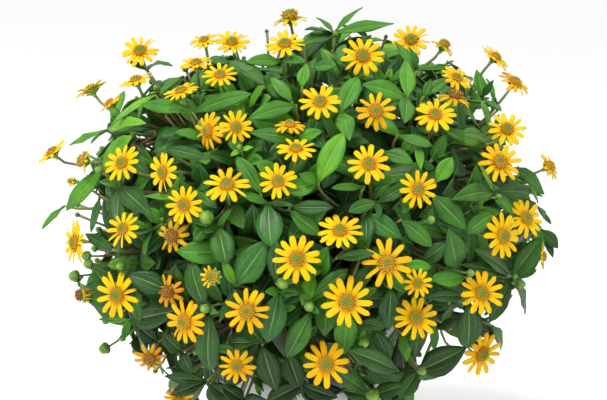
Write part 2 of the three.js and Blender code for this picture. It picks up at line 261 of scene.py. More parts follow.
def spiralDirection(i, rise):
    flat = math.sqrt(1 - rise * rise)
    turn = i * goldenAngle
    return np.array((flat * math.cos(turn), flat * math.sin(turn), rise))


forward = np.array((0, math.cos(frontView["elevation"]), -math.sin(frontView["elevation"])))
upward = np.array((0, math.sin(frontView["elevation"]), math.cos(frontView["elevation"])))
rightward = np.array((1.0, 0.0, 0.0))
eye = frontView["aim"] - forward * frontView["distance"]


def sightLine(x, y):
    step = frontView["pixel"] / frontView["distance"]
    line = forward + rightward * (x - frontView["width"] / 2) * step
    return line + upward * (frontView["height"] / 2 - y) * step


def seenPoint(x, y, level):
    # where the sight line through a pixel meets the dome, or passes closest to it
    line = sightLine(x, y)
    first = frontView["distance"] - frontView["nearest"] * dome["radius"]
    last = frontView["distance"] + frontView["farthest"] * dome["radius"]
    alongs = np.arange(first, last, frontView["stride"])
    levels = domeLevel(eye + line * alongs[:, None])
    met = np.nonzero(levels <= level)[0]
    best = met[0] if len(met) else int(np.argmin(levels))
    return eye + line * alongs[best], alongs[best], line


def seenHead(row, level):
    x, y, across, tilt, side, kind = row
    place, along, line = seenPoint(x, y, level)
    tilt, side = math.radians(tilt), math.radians(side)
    axis = -unit(line) * math.cos(tilt) + rightward * math.sin(tilt) * math.cos(side)
    axis = unit(axis + upward * math.sin(tilt) * math.sin(side))
    radius = across * frontView["pixel"] * along / frontView["distance"] / 2
    return {"place": place, "axis": axis, "radius": radius, "kind": kind, "hanging": False}


def tooClose(heads, candidate):
    for other in heads:
        least = headPlan["spacing"] * (other["radius"] + candidate["radius"])
        if np.linalg.norm(other["place"] - candidate["place"]) < least:
            return True
    return False


def placeHeads():
    heads = []
    for rows, own in ((frontHeads, True), (sideHeads, False)):
        for row in rows:
            level = 1
            candidate = seenHead(row, level)
            while tooClose(heads, candidate) and level > headPlan["deepest"]:
                level -= headPlan["step"]
                candidate = seenHead(row, level)
            candidate["own"] = own
            heads.append(candidate)
    for i in range(backHeads["spiral"]):
        rise = lerp(backHeads["top"], backHeads["bottom"], i / (backHeads["spiral"] - 1))
        direction = spiralDirection(i, rise)
        candidate = {
            "place": domePoint(direction, 1),
            "axis": unit(direction + zAxis * backHeads["upward"]),
            "radius": lerp(backHeads["smallest"], backHeads["largest"], i * goldenAngle % 1),
            "kind": backHeads["kinds"][i % len(backHeads["kinds"])],
            "own": False,
            "hanging": False,
            "back": True,
        }
        if direction @ forward > backHeads["facing"] and not tooClose(heads, candidate):
            heads.append(candidate)
    return heads


def tuckBackHeads(heads):
    # a head at the back that would look over the foliage's outline is still a bud, lower down
    for item in heads:
        if not item.get("back"):
            continue
        turn = evenTurns(backHeads["marks"])
        ring = rightward * np.cos(turn)[:, None] + upward * np.sin(turn)[:, None]
        row, column, depth = sightCells(item["place"] + ring * item["radius"])
        if not len(row) or sight["leafy"][row, column].all():
            continue
        item["kind"] = "bud"
        item["place"] = lerp(dome["centre"], item["place"], backHeads["tucked"])
        item["radius"] = backHeads["budRadius"]


def hangingTips():
    tips = []
    for i in range(hanging["count"]):
        turn = (i + 0.5) / hanging["count"] * 2 * math.pi
        out = np.array((math.cos(turn), math.sin(turn), 0.0))
        place = out * hanging["radius"] + zAxis * (hanging["height"] - i % 2 * hanging["sway"])
        place[0] *= hanging["flatten"]
        axis = unit(out * hanging["outward"] - zAxis)
        tips.append({"place": place, "axis": axis, "own": False, "hanging": True})
    return tips


def bezier(handles, t):
    a, b, c, d = handles
    t = np.asarray(t, float)[..., None]
    s = 1 - t
    return s**3 * a + 3 * s * s * t * b + 3 * s * t * t * c + t**3 * d


def bezierTangent(handles, t):
    a, b, c, d = handles
    s = 1 - t
    return unit(s * s * (b - a) + 2 * s * t * (c - b) + t * t * (d - c))


mixTop = potSize["height"] - mixSize["belowRim"] + mixSize["mound"]
crownCentre = zAxis * (mixTop + crownSize["sink"])


def branchDirection(i):
    share = i / (branchPlan["count"] - 1)
    return spiralDirection(i, lerp(branchPlan["highest"], branchPlan["lowest"], share))


def trunkCurve(i):
    fork = domePoint(branchDirection(i), branchPlan["fork"])
    out = unit(fork - crownCentre)
    start = crownCentre + out * (crownSize["radius"] + branchPlan["startGap"])
    lead = lerp(start, fork, branchPlan["trunkLead"])
    arrive = lerp(start, fork, branchPlan["trunkArrive"]) + zAxis * branchPlan["arch"]
    return start, lead, arrive, fork


def nearestBranch(place):
    direction = unit(place - dome["centre"])
    return int(np.argmax([branchDirection(i) @ direction for i in range(branchPlan["count"])]))


def stalkCurve(trunk, share, end, axis):
    start = bezier(trunk, share)
    reach = branchPlan["stalkHandle"] * np.linalg.norm(end - start)
    lead = start + bezierTangent(trunk, share) * reach
    return start, lead, end - axis * min(reach, branchPlan["longestHandle"]), end


# Meshes are gathered in heaps, one for each piece, with numbers on the vertices for the materials:
# tone (one leaf or floret against another), along (base to tip), across (middle to edge), side
# (1 above, 0 below) and blue (0 grass green, 1 bluish).

finishes = ("leaf", "stem", "ray", "disc", "bud")
noteNames = ("tone", "along", "across", "side", "blue")


def newHeap():
    return {"points": [], "notes": [], "count": 0, "faces": {4: [], 3: []}}


def addFaces(heap, faces, finish, smooth=True):
    # faces on points that the heap has already
    kind = np.full(len(faces), finishes.index(finish), np.int32)
    smooth = np.broadcast_to(np.asarray(smooth, bool), len(faces))
    heap["faces"][faces.shape[1]].append((faces, kind, smooth))


def addMesh(heap, points, faces, finish, smooth=True, tone=0.5, along=0.0, across=0.0, side=1.0, blue=0.0):
    notes = np.empty((len(points), len(noteNames)), np.float32)
    for column, values in enumerate((tone, along, across, side, blue)):
        notes[:, column] = values
    addFaces(heap, faces + heap["count"], finish, smooth)
    heap["points"].append(points)
    heap["notes"].append(notes)
    heap["count"] += len(points)


def addObject(name, data):
    thing = bpy.data.objects.new(name, data)
    bpy.context.scene.collection.objects.link(thing)
    return thing


def meshFromHeap(name, heap, materials):
    points = np.concatenate(heap["points"]) * mm
    notes = np.concatenate(heap["notes"])
    corners, totals, kinds, smooths = [], [], [], []
    for size, stored in heap["faces"].items():
        for faces, kind, smooth in stored:
            corners.append(faces.ravel())
            totals.append(np.full(len(faces), size))
            kinds.append(kind)
            smooths.append(smooth)
    corners, totals, kinds = (np.concatenate(rows).astype(np.int32) for rows in (corners, totals, kinds))
    used = sorted(set(kinds.tolist()))
    mesh = bpy.data.meshes.new(name)
    mesh.vertices.add(len(points))
    mesh.vertices.foreach_set("co", points.astype(np.float32).ravel())
    mesh.loops.add(len(corners))
    mesh.loops.foreach_set("vertex_index", corners)
    mesh.polygons.add(len(totals))
    mesh.polygons.foreach_set("loop_start", (np.cumsum(totals) - totals).astype(np.int32))
    mesh.polygons.foreach_set("loop_total", totals)
    mesh.polygons.foreach_set("material_index", np.searchsorted(used, kinds).astype(np.int32))
    mesh.update(calc_edges=True)
    mesh.polygons.foreach_set("use_smooth", np.concatenate(smooths))
    for column, label in enumerate(noteNames):
        attribute = mesh.attributes.new(label, "FLOAT", "POINT")
        attribute.data.foreach_set("value", np.ascontiguousarray(notes[:, column]))
    for kind in used:
        mesh.materials.append(materials[finishes[kind]])
    mesh.validate()
    return addObject(name, mesh)


@functools.cache
def shellFaces(rows, columns):
    # faces of an upper and a lower grid of points, and of the rim between them
    lower = rows * columns
    faces, smooth = [], []
    for r in range(rows - 1):
        for c in range(columns - 1):
            a, b = r * columns + c, (r + 1) * columns + c
            faces.append((a, b, b + 1, a + 1))
            faces.append((lower + a, lower + a + 1, lower + b + 1, lower + b))
            smooth += [True, True]
    for r in range(rows - 1):
        a, b = r * columns, (r + 1) * columns
        faces.append((a, lower + a, lower + b, b))
        a, b = a + columns - 1, b + columns - 1
        faces.append((b, lower + b, lower + a, a))
        smooth += [False, False]
    for c in range(columns - 1):
        a, b = c, (rows - 1) * columns + c
        faces.append((a + 1, lower + a + 1, lower + a, a))
        faces.append((b, lower + b, lower + b + 1, b + 1))
        smooth += [False, False]
    return np.array(faces), np.array(smooth)


def bladeShell(length, halfWidths, columns, angles, heights, thickness, shorten=None):
    # A thin blade along +X that bends in the XZ plane. Angles are the rise of its spine at each row,
    # heights lift each point off the spine's plane, and shorten pulls points back from the tip.
    rows = len(halfWidths)
    middle = (angles[1:] + angles[:-1]) / 2
    step = length / (rows - 1)
    x = np.concatenate(([0], np.cumsum(np.cos(middle) * step)))
    z = np.concatenate(([0], np.cumsum(np.sin(middle) * step)))
    spine = np.stack((x, np.zeros(rows), z), 1)
    normal = np.stack((-np.sin(angles), np.zeros(rows), np.cos(angles)), 1)
    upper = spine[:, None] + normal[:, None] * heights[..., None]
    upper[..., 1] += halfWidths[:, None] * columns
    if shorten is not None:
        tangent = np.stack((np.cos(angles), np.zeros(rows), np.sin(angles)), 1)
        upper -= tangent[:, None] * shorten[..., None]
    lower = upper - normal[:, None] * thickness[..., None]
    return np.concatenate((upper.reshape(-1, 3), lower.reshape(-1, 3)))


def addBlade(heap, points, u, columns, finish, tone, blue=0.0, under=0.0):
    # under is the side number of the lower face
    faces, smooth = shellFaces(len(u), len(columns))
    along = np.tile(np.repeat(u, len(columns)), 2)
    across = np.tile(columns, 2 * len(u))
    side = np.repeat((1.0, under), len(u) * len(columns))
    addMesh(heap, points, faces, finish, smooth, tone, along, across, side, blue)


def frameMatrix(direction, normal):
    # rows are the blade's length, its width and its upper side
    x = unit(direction)
    y = unit(np.cross(normal, x))
    return np.stack((x, y, np.cross(x, y)))


def turnAbout(angle):
    # a turn about Z
    c, s = math.cos(angle), math.sin(angle)
    return np.array(((c, s, 0), (-s, c, 0), (0, 0, 1)))


def standOn(axis, turn=0.0):
    # rows are the local X, Y and Z of a thing that faces along axis
    x = unit(np.cross(oddDirections["thing"], axis))
    y = np.cross(axis, x)
    return np.stack((x * math.cos(turn) + y * math.sin(turn), y * math.cos(turn) - x * math.sin(turn), axis))


def tubePath(points):
    # square frames carried along a path without twist
    tangents = np.gradient(points, axis=0)
    tangents /= np.linalg.norm(tangents, axis=1)[:, None]
    side = np.cross(tangents[0], oddDirections["stem"])
    sides = []
    for tangent in tangents:
        side = unit(side - tangent * (side @ tangent))
        sides.append(side)
    sides = np.array(sides)
    return sides, np.cross(tangents, sides)


def tubeRings(points, radii, sides):
    first, second = tubePath(points)
    turn = evenTurns(sides)[None, :, None]
    ring = np.cos(turn) * first[:, None] + np.sin(turn) * second[:, None]
    return (points[:, None] + ring * np.reshape(radii, (-1, 1, 1))).reshape(-1, 3)


def ringFaces(rows, sides):
    here = np.arange(rows * sides).reshape(rows, sides)
    after = np.roll(here, -1, 1)
    return np.stack((here[:-1], after[:-1], after[1:], here[1:]), -1).reshape(-1, 4)


def perPoint(values, sides):
    # one number for each ring, the first and last for the two end points
    if not np.ndim(values):
        return values
    return np.concatenate((np.repeat(values[1:-1], sides), (values[0], values[-1])))


def addRings(heap, points, sides, finish, tone, along, across):
    # rings of points, and last the two points that close the ends
    rows = len(points) // sides
    start = heap["count"]
    along, across = perPoint(along, sides), perPoint(across, sides)
    addMesh(heap, points, ringFaces(rows, sides), finish, True, tone, along, across)
    here = np.arange(sides)
    after = np.roll(here, -1)
    foot = np.stack((after, here, np.full(sides, rows * sides)), 1)
    top = np.stack((here, after, np.full(sides, rows * sides + 1)), 1)
    top[:, :2] += (rows - 1) * sides
    addFaces(heap, np.concatenate((foot, top)) + start, finish)


def addLathe(heap, profile, sides, place, matrix, finish, tone=0.5, along=0.0, across=0.0):
    # profile rows are radius and height, and it starts and ends on the axis
    inner = np.array(profile[1:-1], float)
    turn = evenTurns(sides)
    heights = np.broadcast_to(inner[:, 1:], (len(inner), sides))
    rings = np.stack((inner[:, :1] * np.cos(turn), inner[:, :1] * np.sin(turn), heights), -1)
    ends = np.array(((0, 0, profile[0][1]), (0, 0, profile[-1][1])), float)
    points = np.concatenate((rings.reshape(-1, 3), ends)) @ matrix + place
    addRings(heap, points, sides, finish, tone, along, across)


def addTurned(heap, profile, sides, place=np.zeros(3)):
    # a plain turned shape that stands upright
    addLathe(heap, profile, sides, place, np.eye(3), "bud")


# What stands already, as rough shapes, so that new leaves keep clear of it.

standingRoom = 12000  # more than everything that stands
standing = {"centres": np.zeros((standingRoom, 3)), "reaches": np.zeros(standingRoom), "trees": []}


def stand(points, faces):
    count = len(standing["trees"])
    centre = points.mean(0)
    standing["centres"][count] = centre
    standing["reaches"][count] = np.linalg.norm(points - centre, axis=1).max()
    standing["trees"].append(BVHTree.FromPolygons(points.tolist(), faces))


def touches(points, faces):
    count = len(standing["trees"])
    centre = points.mean(0)
    reach = np.linalg.norm(points - centre, axis=1).max()
    gaps = np.linalg.norm(standing["centres"][:count] - centre, axis=1) - standing["reaches"][:count]
    near = np.nonzero(gaps < reach)[0]
    if not len(near):
        return 0
    tree = BVHTree.FromPolygons(points.tolist(), faces)
    return sum(1 for i in near if tree.overlap(standing["trees"][i]))


# The front view: the outline of the foliage, the gaps one sees through, and what no leaf may hide.

# corners of the outline by pixel, clockwise from the upper left
foliageOutline = (
    (112, 120), (126, 106), (140, 96), (150, 86), (170, 80), (182, 76), (196, 70), (208, 58), (228, 55),
    (246, 62), (262, 57), (284, 54), (300, 46), (310, 30), (326, 21), (344, 21), (360, 18), (374, 22),
    (388, 18), (380, 34), (394, 40), (408, 44), (420, 58), (440, 66), (452, 60), (464, 70), (476, 73),
    (486, 70), (491, 84), (497, 96), (502, 108), (500, 114), (505, 126), (511, 150), (521, 160),
    (531, 172), (542, 186), (546, 206), (546, 224), (557, 240), (552, 254), (542, 253), (537, 271),
    (525, 280), (530, 300), (524, 308), (513, 301), (499, 320), (505, 349), (488, 351), (466, 349),
    (452, 334), (441, 324), (431, 330), (435, 347), (425, 342), (412, 360), (420, 367), (466, 352),
    (462, 368), (444, 378), (424, 380), (418, 394), (408, 402), (168, 402), (167, 386), (160, 375),
    (141, 366), (129, 345), (127, 326), (106, 323), (89, 308), (74, 289), (72, 276), (83, 262),
    (99, 258), (108, 250), (86, 235), (84, 227), (97, 231), (104, 219), (98, 200), (81, 196), (66, 213),
    (63, 197), (84, 181), (91, 160), (98, 146), (112, 138), (99, 132),
)
# gaps by pixel: x, y, half width and half height
foliageGaps = (
    (145, 118, 5, 5), (175, 125, 8, 6), (136, 134, 5, 4), (147, 144, 5, 5), (139, 177, 4, 2),
    (134, 185, 3, 3), (144, 199, 5, 7), (97, 190, 7, 3), (88, 203, 9, 6), (107, 226, 5, 8),
    (123, 258, 5, 3), (97, 263, 4, 3), (124, 313, 3, 5), (145, 298, 11, 3), (168, 360, 6, 5),
    (197, 354, 4, 9), (207, 376, 3, 3), (202, 392, 7, 8), (247, 384, 10, 6), (400, 352, 6, 4),
    (350, 357, 4, 6), (458, 119, 5, 4), (505, 147, 3, 4), (477, 160, 5, 4), (508, 179, 3, 2),
    (528, 184, 3, 2), (467, 214, 3, 3), (484, 227, 3, 2), (488, 263, 5, 3), (443, 302, 5, 2),
    (443, 312, 4, 4), (490, 313, 3, 7), (501, 283, 2, 4), (310, 394, 2, 6), (348, 399, 8, 3),
)
sightPlan = {
    "cell": 2,  # pixels
    "outsideShare": 0.1,  # of a leaf that may pass the outline or a gap's edge
    "hidingShare": 0.05,
    "slack": 1.5,
}
sightRows = frontView["height"] // sightPlan["cell"]
sightColumns = frontView["width"] // sightPlan["cell"] + 1


def insideOutline(x, y):
    inside = np.zeros(x.shape, bool)
    corners = foliageOutline + foliageOutline[:1]
    for (ax, ay), (bx, by) in zip(corners, corners[1:]):
        if ay == by:
            continue
        crosses = (ay > y) != (by > y)
        inside ^= crosses & (x < (bx - ax) * (y - ay) / (by - ay) + ax)
    return inside


def openSight():
    x = (np.arange(sightColumns) + 0.5) * sightPlan["cell"]
    y = (np.arange(sightRows) + 0.5) * sightPlan["cell"]
    x, y = np.meshgrid(x, y)
    leafy = insideOutline(x, y)
    for gapX, gapY, halfWidth, halfHeight in foliageGaps:
        leafy &= np.hypot((x - gapX) / halfWidth, (y - gapY) / halfHeight) > 1
    return {"leafy": leafy, "kept": np.full(leafy.shape, np.inf)}


sight = openSight()


def sightCells(points):
    # cells of the front view that the points fall in, and how far away they are
    away = points - eye
    depth = away @ forward
    step = frontView["pixel"] / frontView["distance"] * sightPlan["cell"]
    column = ((away @ rightward) / depth / step + frontView["width"] / 2 / sightPlan["cell"]).astype(int)
    row = (frontView["height"] / 2 / sightPlan["cell"] - (away @ upward) / depth / step).astype(int)
    framed = (column >= 0) & (column < sightColumns) & (row >= 0) & (row < sightRows)
    return row[framed], column[framed], depth[framed]


def keepInSight(points):
    row, column, depth = sightCells(points)
    np.minimum.at(sight["kept"], (row, column), depth)


def spoilsSight(points):
    row, column, depth = sightCells(points)
    if not len(row):
        return False
    if np.mean(~sight["leafy"][row, column]) > sightPlan["outsideShare"]:
        return True
    kept = sight["kept"][row, column]
    hides = np.isfinite(kept) & (kept > depth + sightPlan["slack"])
    return np.mean(hides) > sightPlan["hidingShare"]


# Leaves: small, opposite, ovate, with a pale midrib and two side nerves.

leafLook = {
    "rows": 8,
    "columns": (-1, -0.62, -0.13, 0, 0.13, 0.62, 1),
    "petiole": 0.09,  # share of the length
    "petioleWidth": 1.3,
    "petioleTaper": 0.75,
    "widest": (0.36, 0.5),  # share of the length where the blade is widest, at least and at most
    "fullness": (0.6, 0.78),  # less is a blunter blade
    "thickness": 0.4,
    "ribDepth": 0.35,  # the midrib's groove above
    "ribRidge": 1.2,  # how much thicker the blade is there, in depths of the groove
    "ribWidth": 0.1,
    "ribFade": 0.6,
    "fold": math.radians(16),
    "foldSpread": (0.2, 1.6),
    "arch": 0.55,  # how much the halves curve down again towards the edge
    "wave": 0.55,
    "waveSides": (-1, 1, 1, 0, -1, -1, 1),
    "waveBeats": (1.1, 2.3),
    "waveLength": 34,  # millimetres of leaf that have the full wave
    "tipBend": math.radians(34),
    "bendSpread": (0.35, 1.5),
    "footRise": 0.3,  # share of the bend that the foot rises by
    "bendEase": 1.3,
    "skew": 0.09,
}


def leafOutline(u, draw):
    widest, base = draw.uniform(*leafLook["widest"]), draw.uniform(*leafLook["fullness"])
    s = np.clip((u - leafLook["petiole"]) / (1 - leafLook["petiole"]), 0, 1)
    tip = base * (1 - widest) / widest
    return s**base * (1 - s) ** tip / (widest**base * (1 - widest) ** tip)


def makeLeaf(length, width, draw, bend=None):
    look = leafLook
    columns = np.array(look["columns"])
    u = np.linspace(0, 1, look["rows"])
    petiole = look["petioleWidth"] / 2 * (1 - look["petioleTaper"] * u)
    half = np.maximum(width / 2 * leafOutline(u, draw), petiole)
    bend = look["tipBend"] * draw.uniform(*look["bendSpread"]) if bend is None else bend
    angles = bend * look["footRise"] - bend * u ** look["bendEase"]
    fold = math.tan(look["fold"] * draw.uniform(*look["foldSpread"]))
    heights = np.abs(columns) * half[:, None] * fold * (1 - look["arch"] * np.abs(columns))
    phase, beats = draw.uniform(0, fullTurn), draw.uniform(*look["waveBeats"])
    waves = np.sin(u * beats * fullTurn + phase)[:, None] * np.array(look["waveSides"]) * columns**2
    heights = heights + look["wave"] * waves * (half / half.max())[:, None] * length / look["waveLength"]
    rib = look["ribDepth"] * np.exp(-((columns / look["ribWidth"]) ** 2)) * (1 - look["ribFade"] * u[:, None])
    thickness = look["thickness"] + look["ribRidge"] * rib
    skew = nudge(draw, look["skew"]) * length
    shell = bladeShell(length, half, columns, angles, heights - rib, thickness)
    shell[:, 1] += np.concatenate((u, u)).repeat(len(columns)) ** 2 * skew
    return shell, u, columns


# every other row, and the edges and the middle of it, stand for the leaf in the test for touching
roughRows = range(1, leafLook["rows"], 2)
roughColumns = (0, 3, 6)
leafRoughPicks = [r * len(leafLook["columns"]) + c for r in roughRows for c in roughColumns]
leafRoughFaces = [
    (a, a + len(roughColumns), a + len(roughColumns) + 1, a + 1)
    for r in range(len(roughRows) - 1)
    for a in range(r * len(roughColumns), (r + 1) * len(roughColumns) - 1)
]

# painted light and shade: leaves higher on the dome get a lighter tone and leaves deeper inside it a darker
# one; young and scatter are the leaves' own tones
leafToning = {
    "middle": 0.4,
    "height": 0.17,
    "depth": 0.8,
    "paintedShadeLevel": 0.92,  # of the dome; leaves deeper than that are darker, painted shade of the inside of the mound
    "young": 0.28,
    "scatter": 0.1,
    "ends": (0.02, 0.98),
    "bluish": 0.3,  # share of the leaves
    "blueTones": (0.6, 1),
    "greenTones": (0, 0.5),
}
leafGrowth = {
    "width": (0.38, 0.47),  # share of the length
    "up": 0.55,
    "front": 0.25,
    "toLight": 0.7,
    # more turn and more lift, tried one after another
    "tries": ((0, 0), (0.35, 0.12), (-0.35, -0.2), (0.7, 0.3), (-0.7, -0.35), (1.1, 0.45)),
    "lowest": 32,
}
leafTally = {"grown": 0, "left out": 0}


def leafToneAndShade(place, young, draw):
    # the height and depth terms paint light and shade into the tone
    height = (place[2] - dome["centre"][2]) / dome["rise"]
    tone = leafToning["middle"] + leafToning["height"] * height
    tone += leafToning["depth"] * (float(domeLevel(place)) - leafToning["paintedShadeLevel"])
    tone += leafToning["young"] * young + draw.gauss(0, leafToning["scatter"])
    return clamp(tone, *leafToning["ends"])


def leafBlue(draw):
    bluish = draw.random() < leafToning["bluish"]
    return draw.uniform(*leafToning["blueTones" if bluish else "greenTones"])


def leafTries(shell, place, tangent, turn, lift):
    # the leaf in several positions, without those that hang too low or spoil the front view
    cross = unit(np.cross(zAxis, tangent) + 1e-6)
    other = np.cross(tangent, cross)
    out = unit(place - dome["centre"])
    light = unit(out + zAxis * leafGrowth["up"] - forward * leafGrowth["front"])
    for moreTurn, moreLift in leafGrowth["tries"]:
        swing, rise = turn + moreTurn, lift + moreLift
        radial = cross * math.cos(swing) + other * math.sin(swing)
        direction = unit(radial * math.cos(rise) + tangent * math.sin(rise))
        normal = tangent * math.cos(rise) - radial * math.sin(rise)
        normal = normal + light * leafGrowth["toLight"]
        normal = unit(normal - direction * (normal @ direction))
        placed = shell @ frameMatrix(direction, normal) + place
        low = placed[leafRoughPicks][:, 2].min() < leafGrowth["lowest"]
        if not low and not spoilsSight(placed[: len(placed) // 2]):
            yield placed


def clearest(tries):
    # the first position that touches nothing, or else the one that touches least
    best = None
    for placed in tries:
        hits = touches(placed[leafRoughPicks], leafRoughFaces)
        if best is None or hits < best[0]:
            best = (hits, placed)
        if hits == 0:
            break
    return best


def growLeaf(heap, place, tangent, turn, length, lift, draw, young):
    # a leaf that would touch something in every position is left out
    width = length * draw.uniform(*leafGrowth["width"])
    shell, u, columns = makeLeaf(length, width, draw)
    best = clearest(leafTries(shell, place, tangent, turn, lift))
    if best is None or best[0] > 0:
        leafTally["left out"] += 1
        return False
    placed = best[1]
    stand(placed[leafRoughPicks], leafRoughFaces)
    tone = leafToneAndShade(placed.mean(0), young, draw)
    addBlade(heap, placed, u, columns, "leaf", tone, leafBlue(draw))
    leafTally["grown"] += 1
    return True


# Flower heads: ray florets around a domed disc of small florets, on a green calyx.

headLook = {
    "rayRows": 8,
    "rayColumns": (-1, -0.5, 0, 0.5, 1),
    "rayStart": 0.17,  # share of the head's radius
    "rayWidth": 0.238,
    "rayFoot": 0.58,  # width at the foot, as a share
    "rayFullFrom": 0.45,  # share of the length from which a ray has its full width
    "rayTipFrom": 0.8,
    "rayTipNarrower": 0.3,
    "rayThickness": 0.28,
    "rayBendEase": 1.2,
    "rayGrooves": (-0.4, 1, -0.5, 1, -0.4),
    "rayGrooveDepth": 0.07,
    "rayGrooveFoot": 0.1,
    "rayCurl": (-0.05, 0.1),
    "rayTeeth": (0.1, 0.01, 0.045, 0.01, 0.1),  # how far each column stops short, with a notch in the middle
    "rayTeethFrom": 0.7,
    "rayTeethSpread": (0.7, 1.3),
    "raySweep": 0.05,
    "paintedLowShade": 0.32,  # painted shade: the lowest heads are that much deeper and darker in colour
    "halfEdge": 0.1,  # a half head has rays only where the cosine of their turn is less
}
rayScatter = {
    "turn": 0.16,
    "length": (0.93, 1.03),
    "width": (0.84, 1.12),
    "rise": 7,
    "bend": (0.6, 1.4),
    "roll": 0.22,
    "tone": 0.06,
    "onEdge": 0.1,  # share of narrow florets that stand on edge
    "edgeWidth": 0.72,
    "edgeRoll": 0.7,
    "layer": 0.14,  # every other floret lies higher by this
    "sink": 0.3,
}
# rays, their length and width, how far they rise and bend down (degrees), amber (0 to 1),
# the disc's radius and height as shares, and its age (0 green to 1 brown)
headKinds = {
    "fresh": {"rays": (12, 12, 13, 13), "long": 1, "wide": 1, "rise": 10, "bend": 22, "amber": 0.08,
              "disc": 0.32, "high": 0.62, "age": 0.2},
    "ripe": {"rays": (11, 12, 13), "long": 1, "wide": 0.95, "rise": 6, "bend": 26, "amber": 0.22,
             "disc": 0.34, "high": 0.7, "age": 0.5},
    "orange": {"rays": (11, 12), "long": 0.96, "wide": 0.95, "rise": 6, "bend": 36, "amber": 0.3,
               "disc": 0.33, "high": 0.7, "age": 0.5},
    "brown": {"rays": (10, 11), "long": 0.94, "wide": 0.85, "rise": 0, "bend": 40, "amber": 0.42,
              "disc": 0.36, "high": 0.85, "age": 0.86},
    "wilted": {"rays": (8, 9), "long": 0.95, "wide": 0.6, "rise": -14, "bend": 95, "amber": 0.7,
               "disc": 0.4, "high": 0.9, "age": 0.95},
    "half": {"rays": (11, 12), "long": 1, "wide": 0.9, "rise": 40, "bend": 30, "amber": 0.1,
             "disc": 0.55, "high": 0.5, "age": 0.12},
    "cone": {"rays": (8, 9), "long": 1, "wide": 0.85, "rise": -8, "bend": 24, "amber": 0.08,
             "disc": 0.4, "high": 0.85, "age": 0.22},
}
discLook = {
    "florets": 50,
    "branchFlorets": 28,  # of a head that is one piece with its branch
    "domeRows": 5,
    "domeSides": 12,
    "domeFoot": -1.2,
    "domeReach": 0.96,
    "domeAlong": 0.3,
    "edge": 0.9,
    "floretSides": 5,
    "floretSize": 1.02,
    "floretRings": ((0.75, -0.3), (1.0, 0.35), (0.62, 1.0)),  # width and height of each ring
    "floretAlong": (0, 0, 0.5, 1, 1),
    "floretEnds": (-0.3, 1.18),
    "openFrom": 0.64,  # share of the disc's radius
    "open": (1.6, 0.62, 0.8),  # height, width and mouth of a floret
    "shut": (1.1, 0.74, 1),
    "heightSpread": (0.8, 1.2),
    "slope": (0.35, 0.6),
    "tone": 0.1,
}
calyxLook = {
    # radius in millimetres, plus a share of the disc's; height as a share of the depth, plus millimetres
    "cup": (
        (0, 0, -1, -0.6), (0.9, 0, -1, -0.5), (1.1, 0, -1, 0.4), (0, 0.42, -0.66, 0),
        (0, 0.8, -0.4, 0), (0, 0.94, 0, -0.8), (0, 0.9, 0, -0.4), (0, 0, 0, -0.4),
    ),
    "cupSides": 10,
    # the cup's light tone is partly the calyx's own green, partly painted light on the unlit back of the head
    "cupTone": 0.85,
    "scales": 9,
    "turn": 0.15,
    "widths": (0.6, 1, 0.8, 0.15),
    "width": 0.4,
    "length": 1.25,
    "lengthSpread": (0.85, 1.15),
    "rise": (44, 40, 22, 8),
    "riseSpread": 8,
    "cupping": 0.32,
    "sink": 0.1,
    "thickness": 0.3,
    "foot": (0.36, 0.7),  # shares of the disc's radius and of the depth
    # a light yellow-green, partly the scales' own colour, partly painted light on the unlit back of the head
    "tone": (0.8, 0.08),
}


def past(u, start):
    # 0 up to the start, then growing to 1
    return np.clip((u - start) / (1 - start), 0, 1)


def makeRay(length, width, rise, bend, draw):
    look = headLook
    columns = np.array(look["rayColumns"])
    u = np.linspace(0, 1, look["rayRows"])
    swell = lerp(look["rayFoot"], 1, np.sin(math.pi / 2 * np.minimum(u / look["rayFullFrom"], 1)))
    half = width / 2 * swell * (1 - look["rayTipNarrower"] * past(u, look["rayTipFrom"]) ** 2)
    angles = rise - bend * u ** look["rayBendEase"]
    curl = draw.uniform(*look["rayCurl"]) * width * columns**2
    groove = width * look["rayGrooveDepth"] * np.array(look["rayGrooves"]) + curl
    heights = groove * np.sin(math.pi * lerp(look["rayGrooveFoot"], 1, u))[:, None]
    thickness = np.full(heights.shape, look["rayThickness"])
    teeth = np.array(look["rayTeeth"]) * length * draw.uniform(*look["rayTeethSpread"])
    shorten = teeth * (past(u, look["rayTeethFrom"]) ** 2)[:, None]
    shell = bladeShell(length, half, columns, angles, heights, thickness, shorten)
    sweep = nudge(draw, look["raySweep"]) * length
    shell[:, 1] += np.tile(np.repeat(u**2, len(columns)), 2) * sweep
    return shell, u, columns


def addRays(heap, place, matrix, radius, kind, draw):
    look, scatter = headKinds[kind], rayScatter
    count = draw.choice(look["rays"])
    start = headLook["rayStart"] * radius
    # painted shade: heads low on the dome get deeper, darker florets
    low = clamp((dome["centre"][2] - place[2]) / dome["rise"])
    for i in range(count):
        turn = (i + nudge(draw, scatter["turn"])) / count * 2 * math.pi
        if kind == "half" and math.cos(turn) > headLook["halfEdge"]:
            continue
        length = (radius - start) * look["long"] * draw.uniform(*scatter["length"])
        width = headLook["rayWidth"] * radius * look["wide"] * draw.uniform(*scatter["width"])
        rise = math.radians(look["rise"] + nudge(draw, scatter["rise"]))
        bend = math.radians(look["bend"] * draw.uniform(*scatter["bend"]))
        onEdge = draw.random() < scatter["onEdge"]
        width *= scatter["edgeWidth"] if onEdge else 1
        shell, u, columns = makeRay(length, width, rise, bend, draw)
        roll = nudge(draw, scatter["edgeRoll"] if onEdge else scatter["roll"])
        c, s = math.cos(roll), math.sin(roll)
        shell = shell @ np.array(((1, 0, 0), (0, c, s), (0, -s, c)))
        shell += (start, 0, scatter["layer"] * (i % 2) - scatter["sink"])
        tone = clamp(look["amber"] + headLook["paintedLowShade"] * low + draw.gauss(0, scatter["tone"]))
        addBlade(heap, shell @ turnAbout(turn) @ matrix + place, u, columns, "ray", tone)


